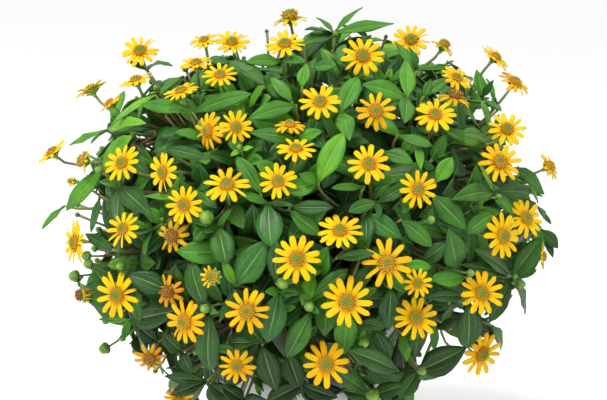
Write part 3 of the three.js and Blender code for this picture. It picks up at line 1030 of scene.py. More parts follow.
def addDisc(heap, place, matrix, radius, kind, florets, draw):
    look, age = discLook, headKinds[kind]["age"]
    disc = headKinds[kind]["disc"] * radius
    high = headKinds[kind]["high"] * disc
    angles = np.linspace(0, math.pi / 2, look["domeRows"])
    profile = [(disc * look["domeReach"] * math.cos(a), high * math.sin(a)) for a in angles[:-1]]
    profile = [(0, look["domeFoot"])] + profile + [(0, high)]
    shares = np.array([look["edge"]] + [look["domeReach"] * math.cos(a) for a in angles])
    addLathe(heap, profile, look["domeSides"], place, matrix, "disc", age, look["domeAlong"], shares)
    size = disc * look["floretSize"] / math.sqrt(florets)
    flare, least = look["slope"]
    for k in range(florets):
        share = math.sqrt((k + 0.5) / florets)
        azimuth = k * goldenAngle
        tall, wide, mouth = look["open" if share > look["openFrom"] else "shut"]
        tall *= size * draw.uniform(*look["heightSpread"])
        wide *= size
        height = high * math.sqrt(max(1 - share * share, 0))
        foothold = np.array((disc * share * math.cos(azimuth), disc * share * math.sin(azimuth), height))
        slope = (foothold + (0, 0, flare * disc)) / (disc, disc, max(high, least * disc))
        local = standOn(unit(slope), draw.uniform(0, fullTurn))
        points = []
        for scale, rise in look["floretRings"]:
            scale *= mouth if rise == 1.0 else 1
            points.append(circle(look["floretSides"]) * wide * scale + (0, 0, rise * tall))
        points.append([(0, 0, end * tall) for end in look["floretEnds"]])
        points = np.concatenate(points) @ local + foothold
        tone = clamp(age + draw.gauss(0, look["tone"]))
        points = points @ matrix + place
        addRings(heap, points, look["floretSides"], "disc", tone, look["floretAlong"], share)


def addScale(heap, place, matrix, turn, length, half, angles, look, foot, tone):
    # one small scale of a calyx or a bud, cupped across
    columns = np.array((-1.0, 0.0, 1.0))
    heights = look["cupping"] * np.abs(columns) * half[:, None] - look["sink"]
    thickness = np.full(heights.shape, look["thickness"])
    shell = bladeShell(length, half, columns, angles, heights, thickness) + foot
    points = shell @ turnAbout(turn) @ matrix + place
    addBlade(heap, points, np.linspace(0, 1, len(half)), columns, "bud", tone, under=1.0)


def addCalyx(heap, place, matrix, radius, kind, draw):
    look, depth = calyxLook, headPlan["calyxDepth"]
    disc = headKinds[kind]["disc"] * radius
    profile = [(r + share * disc, part * depth + z) for r, share, part, z in look["cup"]]
    addLathe(heap, profile, look["cupSides"], place, matrix, "bud", look["cupTone"], 0.5)
    half = disc * look["width"] * np.array(look["widths"])
    foot = np.array((disc * look["foot"][0], 0, -depth * look["foot"][1]))
    for i in range(look["scales"]):
        turn = (i + nudge(draw, look["turn"])) / look["scales"] * 2 * math.pi
        length = disc * look["length"] * draw.uniform(*look["lengthSpread"])
        angles = np.radians(np.array(look["rise"]) + nudge(draw, look["riseSpread"]))
        middle, scatter = look["tone"]
        tone = middle + draw.gauss(0, scatter)
        addScale(heap, place, matrix, turn, length, half, angles, look, foot, tone)


def addHead(heap, item, draw, florets):
    place, axis, radius, kind = (item[key] for key in ("place", "axis", "radius", "kind"))
    if kind == "bud":
        addBud(heap, place - axis * headPlan["seat"], axis, radius, draw)
        return
    matrix = standOn(axis, draw.uniform(0, fullTurn))
    if kind == "half":
        # its bare side is turned to the right
        matrix = standOn(axis)
        matrix = turnAbout(math.atan2(matrix[1] @ rightward, matrix[0] @ rightward)) @ matrix
    addRays(heap, place, matrix, radius, kind, draw)
    addDisc(heap, place, matrix, radius, kind, florets, draw)
    addCalyx(heap, place, matrix, radius, kind, draw)


# the double cone that stands for a head, and the marks that keep it in sight
headRough = {
    "sides": 8,
    "reach": 0.97,
    "edge": -0.8,
    "peak": 1.5,
    "facing": 0.3,
    "marks": (12, 48),
    "marked": 0.95,
}


def standHead(item):
    place, radius = item["place"], item["radius"]
    if item["kind"] == "bud":
        stand(*budRough(place, radius))
        return
    matrix = standOn(item["axis"])
    sides = headRough["sides"]
    ring = circle(sides) * radius * headRough["reach"] + (0, 0, headRough["edge"])
    ends = ((0, 0, headRough["peak"]), (0, 0, -headPlan["calyxDepth"]))
    points = np.concatenate((ring, ends)) @ matrix + place
    faces = [(i, (i + 1) % sides, sides) for i in range(sides)]
    faces += [((i + 1) % sides, i, sides + 1) for i in range(sides)]
    stand(points, faces)
    if item["axis"] @ forward < headRough["facing"]:
        steps, turns = headRough["marks"]
        share, turn = np.meshgrid(np.linspace(0, headRough["marked"], steps), evenTurns(turns))
        flat = np.stack((share * np.cos(turn), share * np.sin(turn), 0 * share), -1).reshape(-1, 3)
        keepInSight(flat * radius @ matrix + place)


# Stems and their leaves.

stemLook = {
    "trunkTip": 1.25,
    "stalkFoot": 1.15,
    "stalkTip": 0.75,
    "sides": 5,
    "steps": 11,
    "swelling": 0.35,  # of the nodes that bear leaves
    "swellingReach": 1.6,
    "greenFrom": 0.25,  # level in the dome below which a stem is all brown
    "tone": (0.5, 0.2),
    "samples": 41,
    "roughStride": 5,  # samples
    "roughSides": 3,
    "roughRoom": 0.2,
}


class Shoot:
    # a stem with its leaves, measured back from its tip
    def __init__(self, handles, radii, owner, item=None, pairs=()):
        self.handles, self.radii, self.owner, self.item, self.pairs = handles, radii, owner, item, pairs
        self.leaves, self.bud, self.spent, self.grown = (), None, None, 0
        self.path = bezier(handles, np.linspace(0, 1, stemLook["samples"]))
        steps = np.linalg.norm(np.diff(self.path, axis=0), axis=1)
        self.run = np.concatenate(([0], np.cumsum(steps)))
        self.length = self.run[-1]
        self.axis = unit(self.path[-1] - self.path[-2])
        marks, sides = self.path[:: stemLook["roughStride"]], stemLook["roughSides"]
        rings = tubeRings(marks, max(radii) + stemLook["roughRoom"], sides)
        stand(rings, ringFaces(len(marks), sides).tolist())

    def at(self, back):
        # place and direction that far behind the tip
        run = self.length - back
        behind, place, ahead = (
            np.array([np.interp(run + more, self.run, self.path[:, k]) for k in range(3)])
            for more in (-1, 0, 1)
        )
        return place, unit(ahead - behind)


def addShootStem(heap, shoot, draw):
    look = stemLook
    tone = clamp(draw.gauss(*look["tone"]))
    t = np.linspace(0, 1, look["steps"] + 1)
    points = bezier(shoot.handles, t)
    run = np.interp(t, np.linspace(0, 1, look["samples"]), shoot.run)
    radii = np.interp(run / shoot.length, (0, 1), shoot.radii)
    for pair in shoot.pairs:
        away = (shoot.length - pair[0] - run) / look["swellingReach"]
        radii = radii + look["swelling"] * np.exp(-(away**2))
    along = np.clip((domeLevel(points) - look["greenFrom"]) / (1 - look["greenFrom"]), 0, 1)
    along = np.concatenate((along[:1], along, along[-1:]))
    points = np.concatenate((tubeRings(points, radii, look["sides"]), points[[0, -1]]))
    addRings(heap, points, look["sides"], "stem", tone, along, 0.0)


# Pairs of leaves on each sort of stem: distance behind the tip, leaf length, lift towards the tip
# in degrees, and how young the leaf is; a leaf with less than 0 is darker.
pairPlans = {
    "flower": ((17, 19, 42, 0.5), (31, 29, 28, 0.2), (46, 35, 16, 0), (61, 36, 8, 0), (76, 36, 0, 0)),
    "leafy": ((0.5, 9, 66, 1), (3.5, 17, 44, 0.8), (10, 27, 30, 0.45), (21, 34, 20, 0.15), (35, 37, 10, 0),
              (51, 36, 4, 0)),
    "hanging": ((0.5, 10, 60, 0.8), (6, 20, 40, 0.5), (15, 29, 24, 0.2), (28, 34, 14, 0), (44, 36, 6, 0),
                (61, 36, 4, 0)),
    "inner": ((2, 22, 50, 0), (10, 34, 30, -0.3), (24, 36, 14, -0.3), (40, 36, 4, -0.3)),
    "trunk": ((6, 36, 8, 0), (24, 38, 2, 0), (44, 36, 0, 0)),
}
pairScatter = {"turn": 0.25, "length": (0.86, 1.12), "lift": 9, "longest": 0.93}
fillPlans = (
    {"count": 156, "top": 0.98, "bottom": -0.8, "levels": (0.84, 0.96), "headRoom": 3.5, "pairs": "leafy"},
    {"count": 80, "top": 0.1, "bottom": -0.93, "levels": (0.7, 0.82), "headRoom": 2, "pairs": "inner"},
    {"count": 70, "top": 0.9, "bottom": -0.3, "levels": (0.72, 0.84), "headRoom": 2, "pairs": "inner"},
)
fillLook = {
    "lowFrom": -0.3,  # the shoots below this rise less
    "rise": 0.45,
    "lowRise": 0.1,
    "fork": (0.55, 0.98),
    "radii": (1.05, 0.6),
    "budRadius": (1.0, 1.9),
    "budSink": 0.3,
}


def growPairs(heap, shoot, draw, start):
    # gives how many leaves found room
    grown = 0
    for n, (back, length, lift, young) in enumerate(shoot.pairs):
        if back > shoot.length * pairScatter["longest"]:
            break
        place, tangent = shoot.at(back)
        for side in (0, math.pi):
            turn = start + n * math.pi / 2 + side + nudge(draw, pairScatter["turn"])
            size = length * draw.uniform(*pairScatter["length"])
            rise = math.radians(lift + nudge(draw, pairScatter["lift"]))
            grown += growLeaf(heap, place, tangent, turn, size, rise, draw, young)
    return grown


def planShoots(heads):
    shoots = []
    trunks = [trunkCurve(i) for i in range(branchPlan["count"])]
    tips = hangingTips()
    for i, trunk in enumerate(trunks):
        radii = (branchPlan["trunkRadius"], stemLook["trunkTip"])
        shoots.append(Shoot(trunk, radii, i, None, pairPlans["trunk"]))
        carried = [item for item in heads + tips if nearestBranch(item["place"]) == i]
        for n, item in enumerate(carried):
            share = lerp(branchPlan["firstStalk"], 1, (n + 1) / len(carried))
            back = headPlan["calyxDepth"] if item["own"] else headPlan["seat"]
            back = 0 if item["hanging"] else back
            end = item["place"] - item["axis"] * back
            pairs = pairPlans["hanging" if item["hanging"] else "flower"]
            curve = stalkCurve(trunk, share, end, item["axis"])
            shoots.append(Shoot(curve, (stemLook["stalkFoot"], stemLook["stalkTip"]), i, item, pairs))
    return trunks, shoots


def planFill(heads, trunks, seen, draw):
    nodes = np.array([shoot.path[-1] for shoot in seen])
    shoots = []
    for plan in fillPlans:
        for i in range(plan["count"]):
            rise = lerp(plan["top"], plan["bottom"], i / (plan["count"] - 1))
            direction = spiralDirection(i, rise)
            place = domePoint(direction, draw.uniform(*plan["levels"]))
            gap = min(np.linalg.norm(item["place"] - place) - item["radius"] for item in heads)
            near = np.linalg.norm(nodes - place, axis=1).min()
            if gap < plan["headRoom"] or near < seenPlan["clearance"]:
                continue
            owner = nearestBranch(place)
            lift = fillLook["rise"] if rise > fillLook["lowFrom"] else fillLook["lowRise"]
            axis = unit(direction + zAxis * lift)
            curve = stalkCurve(trunks[owner], draw.uniform(*fillLook["fork"]), place, axis)
            shoots.append(Shoot(curve, fillLook["radii"], owner, None, pairPlans[plan["pairs"]]))
    return shoots


# Shoots that the front view shows plainly, by pixel: x and y of the node, then its leaves as the
# tip's x and y, the width, how light the leaf looks (its own green and the light and shade on it together,
# painted into its tone) and, where it is bluish, a 1.
seenShoots = (
    ((147, 70), ((163, 63, 9, 0.5, 1), (128, 60, 7, 0.3, 1))),
    ((152, 84), ((163, 82, 8, 0.2, 1),)),
    ((183, 76), ((160, 92, 10, 0.6),)),
    ((155, 95), ((112, 120, 10, 0.95),)),
    ((111, 122), ((125, 90, 12, 0.65),)),
    ((106, 130), ((143, 120, 17, 0.95), (68, 146, 9, 0.75), (92, 141, 5, 0.4))),
    ((193, 112), ((143, 101, 15, 0.7), (249, 91, 18, 0.5))),
    ((231, 62), ((208, 60, 10, 0.5, 1), (258, 82, 14, 0.3))),
    ((282, 61), ((248, 62, 16, 0.45), (305, 60, 12, 0.45))),
    ((334, 33), ((309, 28, 12, 0.5, 1), (320, 16, 6, 0.5), (359, 4, 6, 0.6), (391, 20, 15, 0.6),
                 (301, 47, 16, 0.3))),
    ((345, 45), ((335, 60, 10, 0.5),)),
    ((313, 66), ((334, 66, 20, 0.5),)),
    ((302, 87), ((305, 63, 13, 0.75),)),
    ((292, 102), ((273, 76, 13, 0.75),)),
    ((266, 81), ((228, 62, 18, 0.3), (290, 102, 18, 0.35))),
    ((296, 105), ((248, 118, 18, 0.45),)),
    ((362, 41), ((383, 38, 5, 0.5),)),
    ((417, 70), ((395, 42, 10, 0.5), (411, 47, 10, 0.5), (450, 66, 6, 0.6))),
    ((407, 98), ((408, 59, 17, 0.7), (365, 84, 22, 0.5), (404, 120, 17, 0.45))),
    ((462, 75), ((449, 61, 11, 0.5), (475, 80, 9, 0.4))),
    ((424, 96), ((451, 78, 13, 0.45), (432, 80, 9, 0.5))),
    ((341, 112), ((358, 77, 20, 0.5), (352, 138, 18, 0.7))),
    ((482, 98), ((478, 70, 15, 0.65), (501, 109, 12, 0.5), (492, 80, 8, 0.5, 1))),
    ((498, 110), ((493, 92, 9, 0.4),)),
    ((101, 172), ((128, 136, 20, 0.8), (66, 213, 20, 0.75))),
    ((64, 206), ((42, 228, 8, 0.75),)),
    ((100, 196), ((93, 230, 8, 0.55, 1),)),
    ((119, 186), ((118, 226, 20, 0.25), (150, 213, 22, 0.25))),
    ((112, 250), ((85, 232, 12, 0.3),)),
    ((178, 198), ((144, 196, 6, 0.8),)),
    ((165, 148), ((205, 158, 16, 0.3),)),
    ((261, 194), ((240, 155, 16, 0.5),)),
    ((280, 175), ((257, 163, 22, 0.75),)),
    ((318, 182), ((288, 190, 18, 0.75), (300, 174, 12, 0.5), (343, 133, 22, 0.8))),
    ((268, 203), ((240, 194, 9, 0.5), (270, 245, 28, 0.5, 1), (292, 203, 6, 0.5))),
    ((290, 207), ((331, 210, 14, 0.3),)),
    ((322, 236), ((289, 213, 18, 0.5),)),
    ((298, 140), ((250, 132, 16, 0.35), (321, 130, 12, 0.75))),
    ((217, 226), ((190, 220, 6, 0.5), (230, 211, 8, 0.5), (206, 232, 7, 0.4), (228, 262, 28, 0.4))),
    ((198, 190), ((213, 182, 10, 0.5, 1), (215, 207, 16, 0.4))),
    ((364, 187), ((334, 188, 8, 0.5),)),
    ((378, 202), ((349, 208, 13, 0.45), (406, 186, 14, 0.45), (380, 216, 7, 0.3))),
    ((366, 214), ((368, 240, 26, 0.5, 1), (400, 240, 20, 0.5, 1))),
    ((384, 152), ((413, 163, 16, 0.4),)),
    ((418, 145), ((420, 168, 9, 0.8),)),
    ((398, 135), ((431, 146, 12, 0.5),)),
    ((436, 182), ((452, 158, 26, 0.8),)),
    ((432, 195), ((465, 230, 24, 0.5),)),
    ((464, 235), ((492, 213, 16, 0.5), (440, 224, 20, 0.5, 1))),
    ((401, 220), ((433, 245, 18, 0.35),)),
    ((494, 192), ((456, 197, 20, 0.5), (532, 193, 18, 0.3), (481, 168, 7, 0.9), (512, 215, 14, 0.5))),
    ((515, 168), ((545, 190, 18, 0.5),)),
    ((528, 186), ((540, 200, 10, 0.75),)),
    ((537, 206), ((545, 215, 8, 0.5), (550, 224, 6, 0.5))),
    ((540, 229), ((559, 246, 14, 0.5), (530, 262, 16, 0.45), (554, 256, 9, 0.3))),
    ((488, 140), ((462, 130, 18, 0.5),)),
    ((512, 277), ((541, 238, 22, 0.45), (480, 248, 18, 0.4), (470, 270, 12, 0.4), (537, 273, 8, 0.4),
                  (529, 308, 15, 0.55), (491, 321, 17, 0.4))),
    ((491, 325), ((505, 350, 13, 0.5),)),
    ((458, 270), ((447, 232, 26, 0.35),)),
    ((465, 277), ((435, 282, 16, 0.8),)),
    ((466, 297), ((429, 293, 13, 0.4, 1),)),
    ((428, 304), ((448, 306, 12, 0.35, 1),)),
    ((468, 303), ((470, 348, 30, 0.35),)),
    ((441, 322), ((452, 306, 8, 0.4),)),
    ((403, 265), ((431, 265, 11, 0.8),)),
    ((421, 262), ((446, 246, 16, 0.25),)),
    ((391, 288), ((388, 330, 24, 0.45, 1),)),
    ((360, 322), ((385, 328, 12, 0.35),)),
    ((347, 310), ((345, 356, 22, 0.75),)),
    ((398, 371), ((354, 351, 22, 0.55),)),
    ((390, 360), ((374, 334, 18, 0.4, 1),)),
    ((402, 334), ((404, 354, 10, 0.6),)),
    ((434, 322), ((435, 349, 9, 0.5),)),
    ((418, 371), ((467, 351, 28, 0.3), (400, 398, 30, 0.5))),
    ((337, 258), ((373, 252, 11, 0.5, 1),)),
    ((374, 262), ((352, 290, 14, 0.35),)),
    ((312, 300), ((345, 267, 15, 0.55),)),
    ((311, 311), ((290, 360, 22, 0.55),)),
    ((211, 314), ((205, 372, 25, 0.45),)),
    ((279, 292), ((269, 343, 25, 0.6, 1), (267, 292, 9, 0.75), (297, 293, 9, 0.6))),
    ((276, 283), ((275, 243, 16, 0.45, 1),)),
    ((236, 285), ((212, 243, 14, 0.6, 1), (222, 262, 10, 0.85), (269, 241, 28, 0.65, 1))),
    ((190, 257), ((199, 305, 20, 0.3),)),
    ((234, 291), ((218, 321, 7, 0.5, 1),)),
    ((252, 368), ((263, 380, 6, 0.5),)),
    ((370, 394), ((336, 371, 16, 0.45),)),
    ((119, 300), ((90, 268, 26, 0.35), (86, 300, 18, 0.4))),
    ((168, 291), ((130, 272, 22, 0.4, 1),)),
    ((129, 320), ((176, 315, 26, 0.2), (97, 321, 6, 0.95), (125, 339, 9, 0.8))),
    ((185, 376), ((168, 390, 18, 0.6),)),
    ((207, 381), ((165, 376, 14, 0.2), (170, 396, 14, 0.2), (188, 401, 10, 0.3))),
    ((262, 345), ((274, 392, 24, 0.1),)),
    ((286, 352), ((301, 386, 20, 0.1),)),
    ((301, 385), ((266, 401, 20, 0.12), (336, 399, 18, 0.15))),
    ((244, 401), ((224, 386, 16, 0.15), (264, 399, 14, 0.12))),
    ((228, 343), ((253, 341, 14, 0.2),)),
    ((210, 384), ((232, 399, 16, 0.15), (214, 404, 12, 0.2))),
    ((372, 396), ((400, 384, 16, 0.4), (345, 391, 18, 0.35))),
    ((182, 352), ((162, 336, 16, 0.15), (190, 374, 14, 0.12))),
    ((158, 342), ((138, 327, 18, 0.12), (150, 352, 16, 0.12))),
)
# buds of that view: x, y and radius in pixels
seenBuds = (
    (208, 218, 7), (89, 256, 5), (91, 264, 5), (78, 276, 6), (122, 266, 4), (108, 347, 6), (206, 308, 5),
    (309, 306, 5), (363, 342, 5), (371, 392, 7), (469, 273, 4), (518, 284, 5), (513, 276, 3), (157, 89, 3),
    (283, 283, 6), (101, 171, 4), (497, 197, 3), (430, 220, 4), (240, 148, 3), (420, 369, 5), (335, 36, 3),
)
seenSpent = ((70, 181, 13, 62, 175, "cone"),)
seenPlan = {
    "nodeLevel": 0.93,
    "tipLevels": (0.99, 0.955, 1.02, 0.92, 1.05, 0.885),  # tried in turn until the leaf touches nothing
    "budLevel": 0.97,
    "broadest": 0.6,  # a leaf's width, at most, as a share of its length
    "stalkShare": (0.72, 0.98),
    "grid": (30, 13),  # points that mark a leaf in the front view
    "clearance": 10,  # millimetres from these shoots to the ones that fill the mound
    "leafStalk": (40, (1.05, 0.7)),  # rise of its axis, and its radius at the foot and the tip
    "budStalk": (30, (0.9, 0.55)),
    "headStalk": (30, (0.9, 0.7)),
    "bend": (8, 34),
    "roll": 0.35,
    "facing": (0.5, 0.8, 0.5),  # outwards, to the viewer and up
    "stretch": 1.03,
    "tone": (0.07, 0.68, 0.04),  # of the darkest leaf, more for the lightest, and scatter
    "blue": 0.9,
    "green": (0, 0.4),
    "budPairs": ((2.2, 7, 30, 0.9), (16, 20, 40, 0.5), (33, 30, 26, 0.2), (50, 35, 12, 0)),
}


def seenSpot(x, y, level):
    return seenPoint(x, y, level)[0]


def seenStalk(trunks, place, sort, pairs, draw):
    owner = nearestBranch(place)
    rise, radii = seenPlan[sort]
    axis = unit(place - dome["centre"] + zAxis * rise)
    curve = stalkCurve(trunks[owner], draw.uniform(*seenPlan["stalkShare"]), place, axis)
    return Shoot(curve, radii, owner, None, pairs)


def planSeen(trunks, draw):
    shoots = []
    for node, leaves in seenShoots:
        place = seenSpot(*node, seenPlan["nodeLevel"])
        shoot = seenStalk(trunks, place, "leafStalk", pairPlans["leafy"][3:], draw)
        shoot.leaves = leaves
        shoots.append(shoot)
    for x, y, radius in seenBuds:
        place = seenSpot(x, y, seenPlan["budLevel"])
        shoot = seenStalk(trunks, place, "budStalk", seenPlan["budPairs"], draw)
        shoot.bud = radius * frontView["pixel"]
        shoots.append(shoot)
    for row in seenSpent:
        item = seenHead(row, seenPlan["budLevel"])
        place = item["place"] - item["axis"] * headPlan["seat"]
        shoot = seenStalk(trunks, place, "headStalk", pairPlans["flower"][1:], draw)
        shoot.spent = item
        shoots.append(shoot)
    return shoots


def seenTries(shell, base, tip, reach, roll):
    # the leaf with its tip at several levels of the dome
    outward, viewer, up = seenPlan["facing"]
    for level in seenPlan["tipLevels"]:
        direction = seenSpot(*tip, level) - base
        out = unit(base + direction / 2 - dome["centre"])
        normal = unit(out * outward - forward * viewer + zAxis * up + roll)
        stretch = np.array((seenPlan["stretch"] * np.linalg.norm(direction) / reach, 1, 1))
        yield (shell * stretch) @ frameMatrix(direction, normal) + base


def addSeenLeaf(heap, shoot, row, draw):
    tipX, tipY, across, light, *blue = row
    base = shoot.path[-1]
    reach = np.linalg.norm(seenSpot(tipX, tipY, seenPlan["tipLevels"][0]) - base)
    width = min(across * frontView["pixel"], seenPlan["broadest"] * reach)
    shell, u, columns = makeLeaf(reach, width, draw, math.radians(draw.uniform(*seenPlan["bend"])))
    roll = rightward * nudge(draw, seenPlan["roll"])
    placed = clearest(seenTries(shell, base, (tipX, tipY), reach, roll))[1]
    stand(placed[leafRoughPicks], leafRoughFaces)
    upper = placed[: len(placed) // 2].reshape(len(u), len(columns), 3)
    rows, wide = seenPlan["grid"]
    at = np.linspace(0, len(u) - 1.001, rows)
    low = at.astype(int)
    grid = upper[low] + (upper[low + 1] - upper[low]) * (at - low)[:, None, None]
    share = (np.arange(wide) / (wide - 1))[None, :, None]
    keepInSight((grid[:, :1] + (grid[:, -1:] - grid[:, :1]) * share).reshape(-1, 3))
    # painted light and shade: the tone follows how light the leaf looks in the front view, shading included,
    # and grows lighter higher on the dome
    height = (placed[:, 2].mean() - dome["centre"][2]) / dome["rise"]
    dark, span, scatter = seenPlan["tone"]
    tone = dark + span * light + leafToning["height"] * height + draw.gauss(0, scatter)
    blueness = seenPlan["blue"] if blue else draw.uniform(*seenPlan["green"])
    addBlade(heap, placed, u, columns, "leaf", clamp(tone, leafToning["ends"][0]), blueness)


# Buds: a globe wrapped in rings of scales, one ring while it is small.

budLook = {
    "smallUnder": 2,
    "globe": (0.86, 0.9),  # half width and half height, in radii
    "globeRows": 7,
    "globeTone": 0.4,
    "sides": (10, 8),  # of a large and of a small globe
    # scales in a ring, how far out they stand and how large they are
    "rings": (((6, 0.25, 1.0), (5, 0.1, 0.72)), ((4, 0.2, 1.0),)),
    "turn": 0.1,
    "width": 0.62,
    "widths": (0.5, 1, 1, 0.7, 0.12),
    "length": 1.75,
    "rise": (0, 35, 80, 115, 135),
    "innerRise": 14,
    "cupping": 0.3,
    "sink": 0,
    "thickness": 0.25,
    "tone": (0.26, 0.2, 0.06),  # of the outer ring, more for the inner one, and scatter
    "stalkSink": 0.2,
    "middle": 0.6,
}


def addBud(heap, place, axis, radius, draw):
    look, small = budLook, radius < budLook["smallUnder"]
    angles = np.linspace(-math.pi / 2, math.pi / 2, look["globeRows"])
    wide, high = look["globe"]
    profile = [(radius * wide * math.cos(a), radius * high * (math.sin(a) + 1)) for a in angles]
    matrix = standOn(axis, draw.uniform(0, fullTurn))
    along = np.linspace(0, 1, len(profile))
    addLathe(heap, profile, look["sides"][small], place, matrix, "bud", look["globeTone"], along)
    outer, inner, scatter = look["tone"]
    for ring, (count, foot, size) in enumerate(look["rings"][small]):
        half = radius * look["width"] * size * np.array(look["widths"])
        angles = np.radians(np.array(look["rise"]) + ring * look["innerRise"])
        for i in range(count):
            turn = (i + ring * 0.5 + nudge(draw, look["turn"])) / count * 2 * math.pi
            tone = outer + inner * ring + draw.gauss(0, scatter)
            length = radius * look["length"] * size
            addScale(heap, place, matrix, turn, length, half, angles, look, (radius * foot, 0, 0), tone)


# marks that keep a bud in sight, as an upright disc
budMarks = np.array([(math.cos(a) * r, 0, math.sin(a) * r) for r in (0.4, 0.9) for a in evenTurns(12)])


def budRough(place, radius):
    points = np.vstack((np.eye(3), -np.eye(3))) * radius + place
    faces = [(0, 1, 2), (1, 3, 2), (3, 4, 2), (4, 0, 2), (1, 0, 5), (3, 1, 5), (4, 3, 5), (0, 4, 5)]
    return points, faces


# Materials. Each mixes its colours from the numbers on the vertices and from noise.


class Finish:
    # a material in the making, whose methods add nodes and give their outputs
    def __init__(self, name, roughness, **values):
        self.material = bpy.data.materials.new(name)
        self.material.use_nodes = True
        self.tree = self.material.node_tree
        self.tree.nodes.clear()
        output = self.tree.nodes.new("ShaderNodeOutputMaterial")
        self.shader = self.node("BsdfPrincipled", Roughness=roughness, **values)
        self.tree.links.new(self.shader.outputs[0], output.inputs[0])

    def node(self, kind, *fed, settings=(), **named):
        # values are numbers, colours or the outputs of other nodes, by socket number or name
        node = self.tree.nodes.new("ShaderNode" + kind)
        for label, value in settings:
            setattr(node, label, value)
        for socket, value in [*fed, *named.items()]:
            if isinstance(value, bpy.types.NodeSocket):
                self.tree.links.new(value, node.inputs[socket])
            else:
                node.inputs[socket].default_value = value
        return node

    def use(self, label, value):
        self.tree.links.new(value, self.shader.inputs[label])

    def number(self, label):
        return self.node("Attribute", settings=[("attribute_name", label)]).outputs["Fac"]

    def noise(self, scale, detail=3.0, stretch=None):
        # scale is in bumps per metre
        source = self.node("TexCoord").outputs["Object"]
        if stretch:
            source = self.node("Mapping", Vector=source, Scale=stretch).outputs[0]
        return self.node("TexNoise", Vector=source, Scale=scale, Detail=detail).outputs["Fac"]

    def sum(self, operation, a, b=0.0):
        return self.node("Math", (0, a), (1, b), settings=[("operation", operation)]).outputs[0]

    def times(self, a, b):
        return self.sum("MULTIPLY", a, b)

    def less(self, a, b):
        return self.sum("SUBTRACT", a, b)

    def size(self, a):
        return self.sum("ABSOLUTE", a)

    def varied(self, value, noise, amount):
        return self.sum("ADD", value, self.times(self.less(noise, 0.5), amount))

    def ramp(self, amount, stops):
        node = self.node("ValToRGB", (0, amount))
        elements = node.color_ramp.elements
        while len(elements) < len(stops):
            elements.new(0.5)
        for element, (place, colour) in zip(elements, stops):
            element.position = place
            element.color = linear(*colour)
        return node.outputs[0]

    def band(self, amount, low, high, first=0.0, last=1.0):
        # goes smoothly from first to last between low and high
        ends = (("From Min", low), ("From Max", high), ("To Min", first), ("To Max", last))
        smooth = [("interpolation_type", "SMOOTHSTEP")]
        return self.node("MapRange", ("Value", amount), *ends, settings=smooth).outputs[0]

    def blend(self, amount, a, b):
        a, b = (linear(*part) if isinstance(part, tuple) else part for part in (a, b))
        colours = [("data_type", "RGBA")]
        return self.node("Mix", (0, amount), (6, a), (7, b), settings=colours).outputs[2]

    def bump(self, height, strength, distance):
        node = self.node("Bump", Height=height, Strength=strength, Distance=distance * mm)
        self.use("Normal", node.outputs[0])


leafFinish = {
    "ramp": ((0.0, (18, 42, 8)), (0.3, (36, 80, 16)), (0.62, (66, 130, 22)), (1.0, (126, 188, 32))),
    "cool": ((0.0, (14, 38, 13)), (0.3, (26, 70, 22)), (0.62, (50, 110, 34)), (1.0, (92, 156, 54))),
    "vein": (150, 192, 104),
    "under": (112, 146, 84),
    "roughness": 0.42,
    "specular": 0.3,
    "gloss": (0.36, 0.52),
    "sideNerve": 0.46,  # share of the half width
    "twigs": 7.5,
    "twigSlant": 0.22,
}


def makeLeafMaterial():
    values = {"Specular IOR Level": leafFinish["specular"]}
    look = Finish("leafGreen", leafFinish["roughness"], **values)
    along, patches = look.number("along"), look.noise(90, 4)
    shade = look.varied(look.number("tone"), patches, 0.5)
    warm, cool = look.ramp(shade, leafFinish["ramp"]), look.ramp(shade, leafFinish["cool"])
    blue = look.varied(look.number("blue"), look.noise(60, 1), 1.0)
    colour = look.blend(look.band(blue, 0.3, 0.75), warm, cool)
    away = look.size(look.number("across"))
    midrib = look.band(away, 0.02, 0.085, 1, 0)
    nerve = look.band(look.size(look.less(away, leafFinish["sideNerve"])), 0.0, 0.05, 1, 0)
    nerve = look.times(nerve, look.band(along, 0.45, 0.85, 1, 0))
    slant = look.less(along, look.times(away, leafFinish["twigSlant"]))
    beat = look.sum("FRACT", look.times(slant, leafFinish["twigs"]))
    twig = look.band(look.size(look.less(beat, 0.5)), 0.0, 0.09, 1, 0)
    veins = look.sum("MAXIMUM", look.times(midrib, 0.8), look.times(nerve, 0.35))
    veins = look.sum("MAXIMUM", veins, look.times(twig, 0.14))
    colour = look.blend(look.times(veins, 0.5), colour, leafFinish["vein"])
    under = look.less(1.0, look.number("side"))
    look.use("Base Color", look.blend(look.times(under, 0.55), colour, leafFinish["under"]))
    look.bump(look.less(look.times(look.noise(900, 2), 0.35), look.times(veins, 0.9)), 0.6, 0.5)
    look.use("Roughness", look.band(patches, 0.35, 0.65, *leafFinish["gloss"]))
    return look.material


stemFinish = {
    "ramp": ((0.0, (88, 60, 42)), (0.35, (116, 86, 58)), (0.7, (126, 122, 72)), (1.0, (122, 150, 76))),
    "roughness": 0.5,
}


def makeStemMaterial():
    look = Finish("stemGreenAndRusset", stemFinish["roughness"])
    streaks = look.noise(260, 3, (1, 1, 0.25))
    age = look.varied(look.number("along"), look.number("tone"), 0.8)
    age = look.varied(age, streaks, 0.6)
    look.use("Base Color", look.ramp(age, stemFinish["ramp"]))
    look.bump(streaks, 0.4, 0.3)
    return look.material


rayFinish = {
    "ramp": ((0.0, (252, 200, 0)), (0.3, (246, 178, 4)), (0.65, (230, 142, 12)), (1.0, (178, 98, 22))),
    "base": (222, 138, 4),
    # the underside's paler yellow, made lighter still as painted light on the shaded underside
    "under": (238, 214, 40),
    "roughness": 0.55,
    "specular": 0.15,
    "glow": 0.4,  # light that passes through the thin florets
    "glowReach": 1.6,
    "glowColour": (1, 0.7, 0.1),
    "lines": 9.5,
}


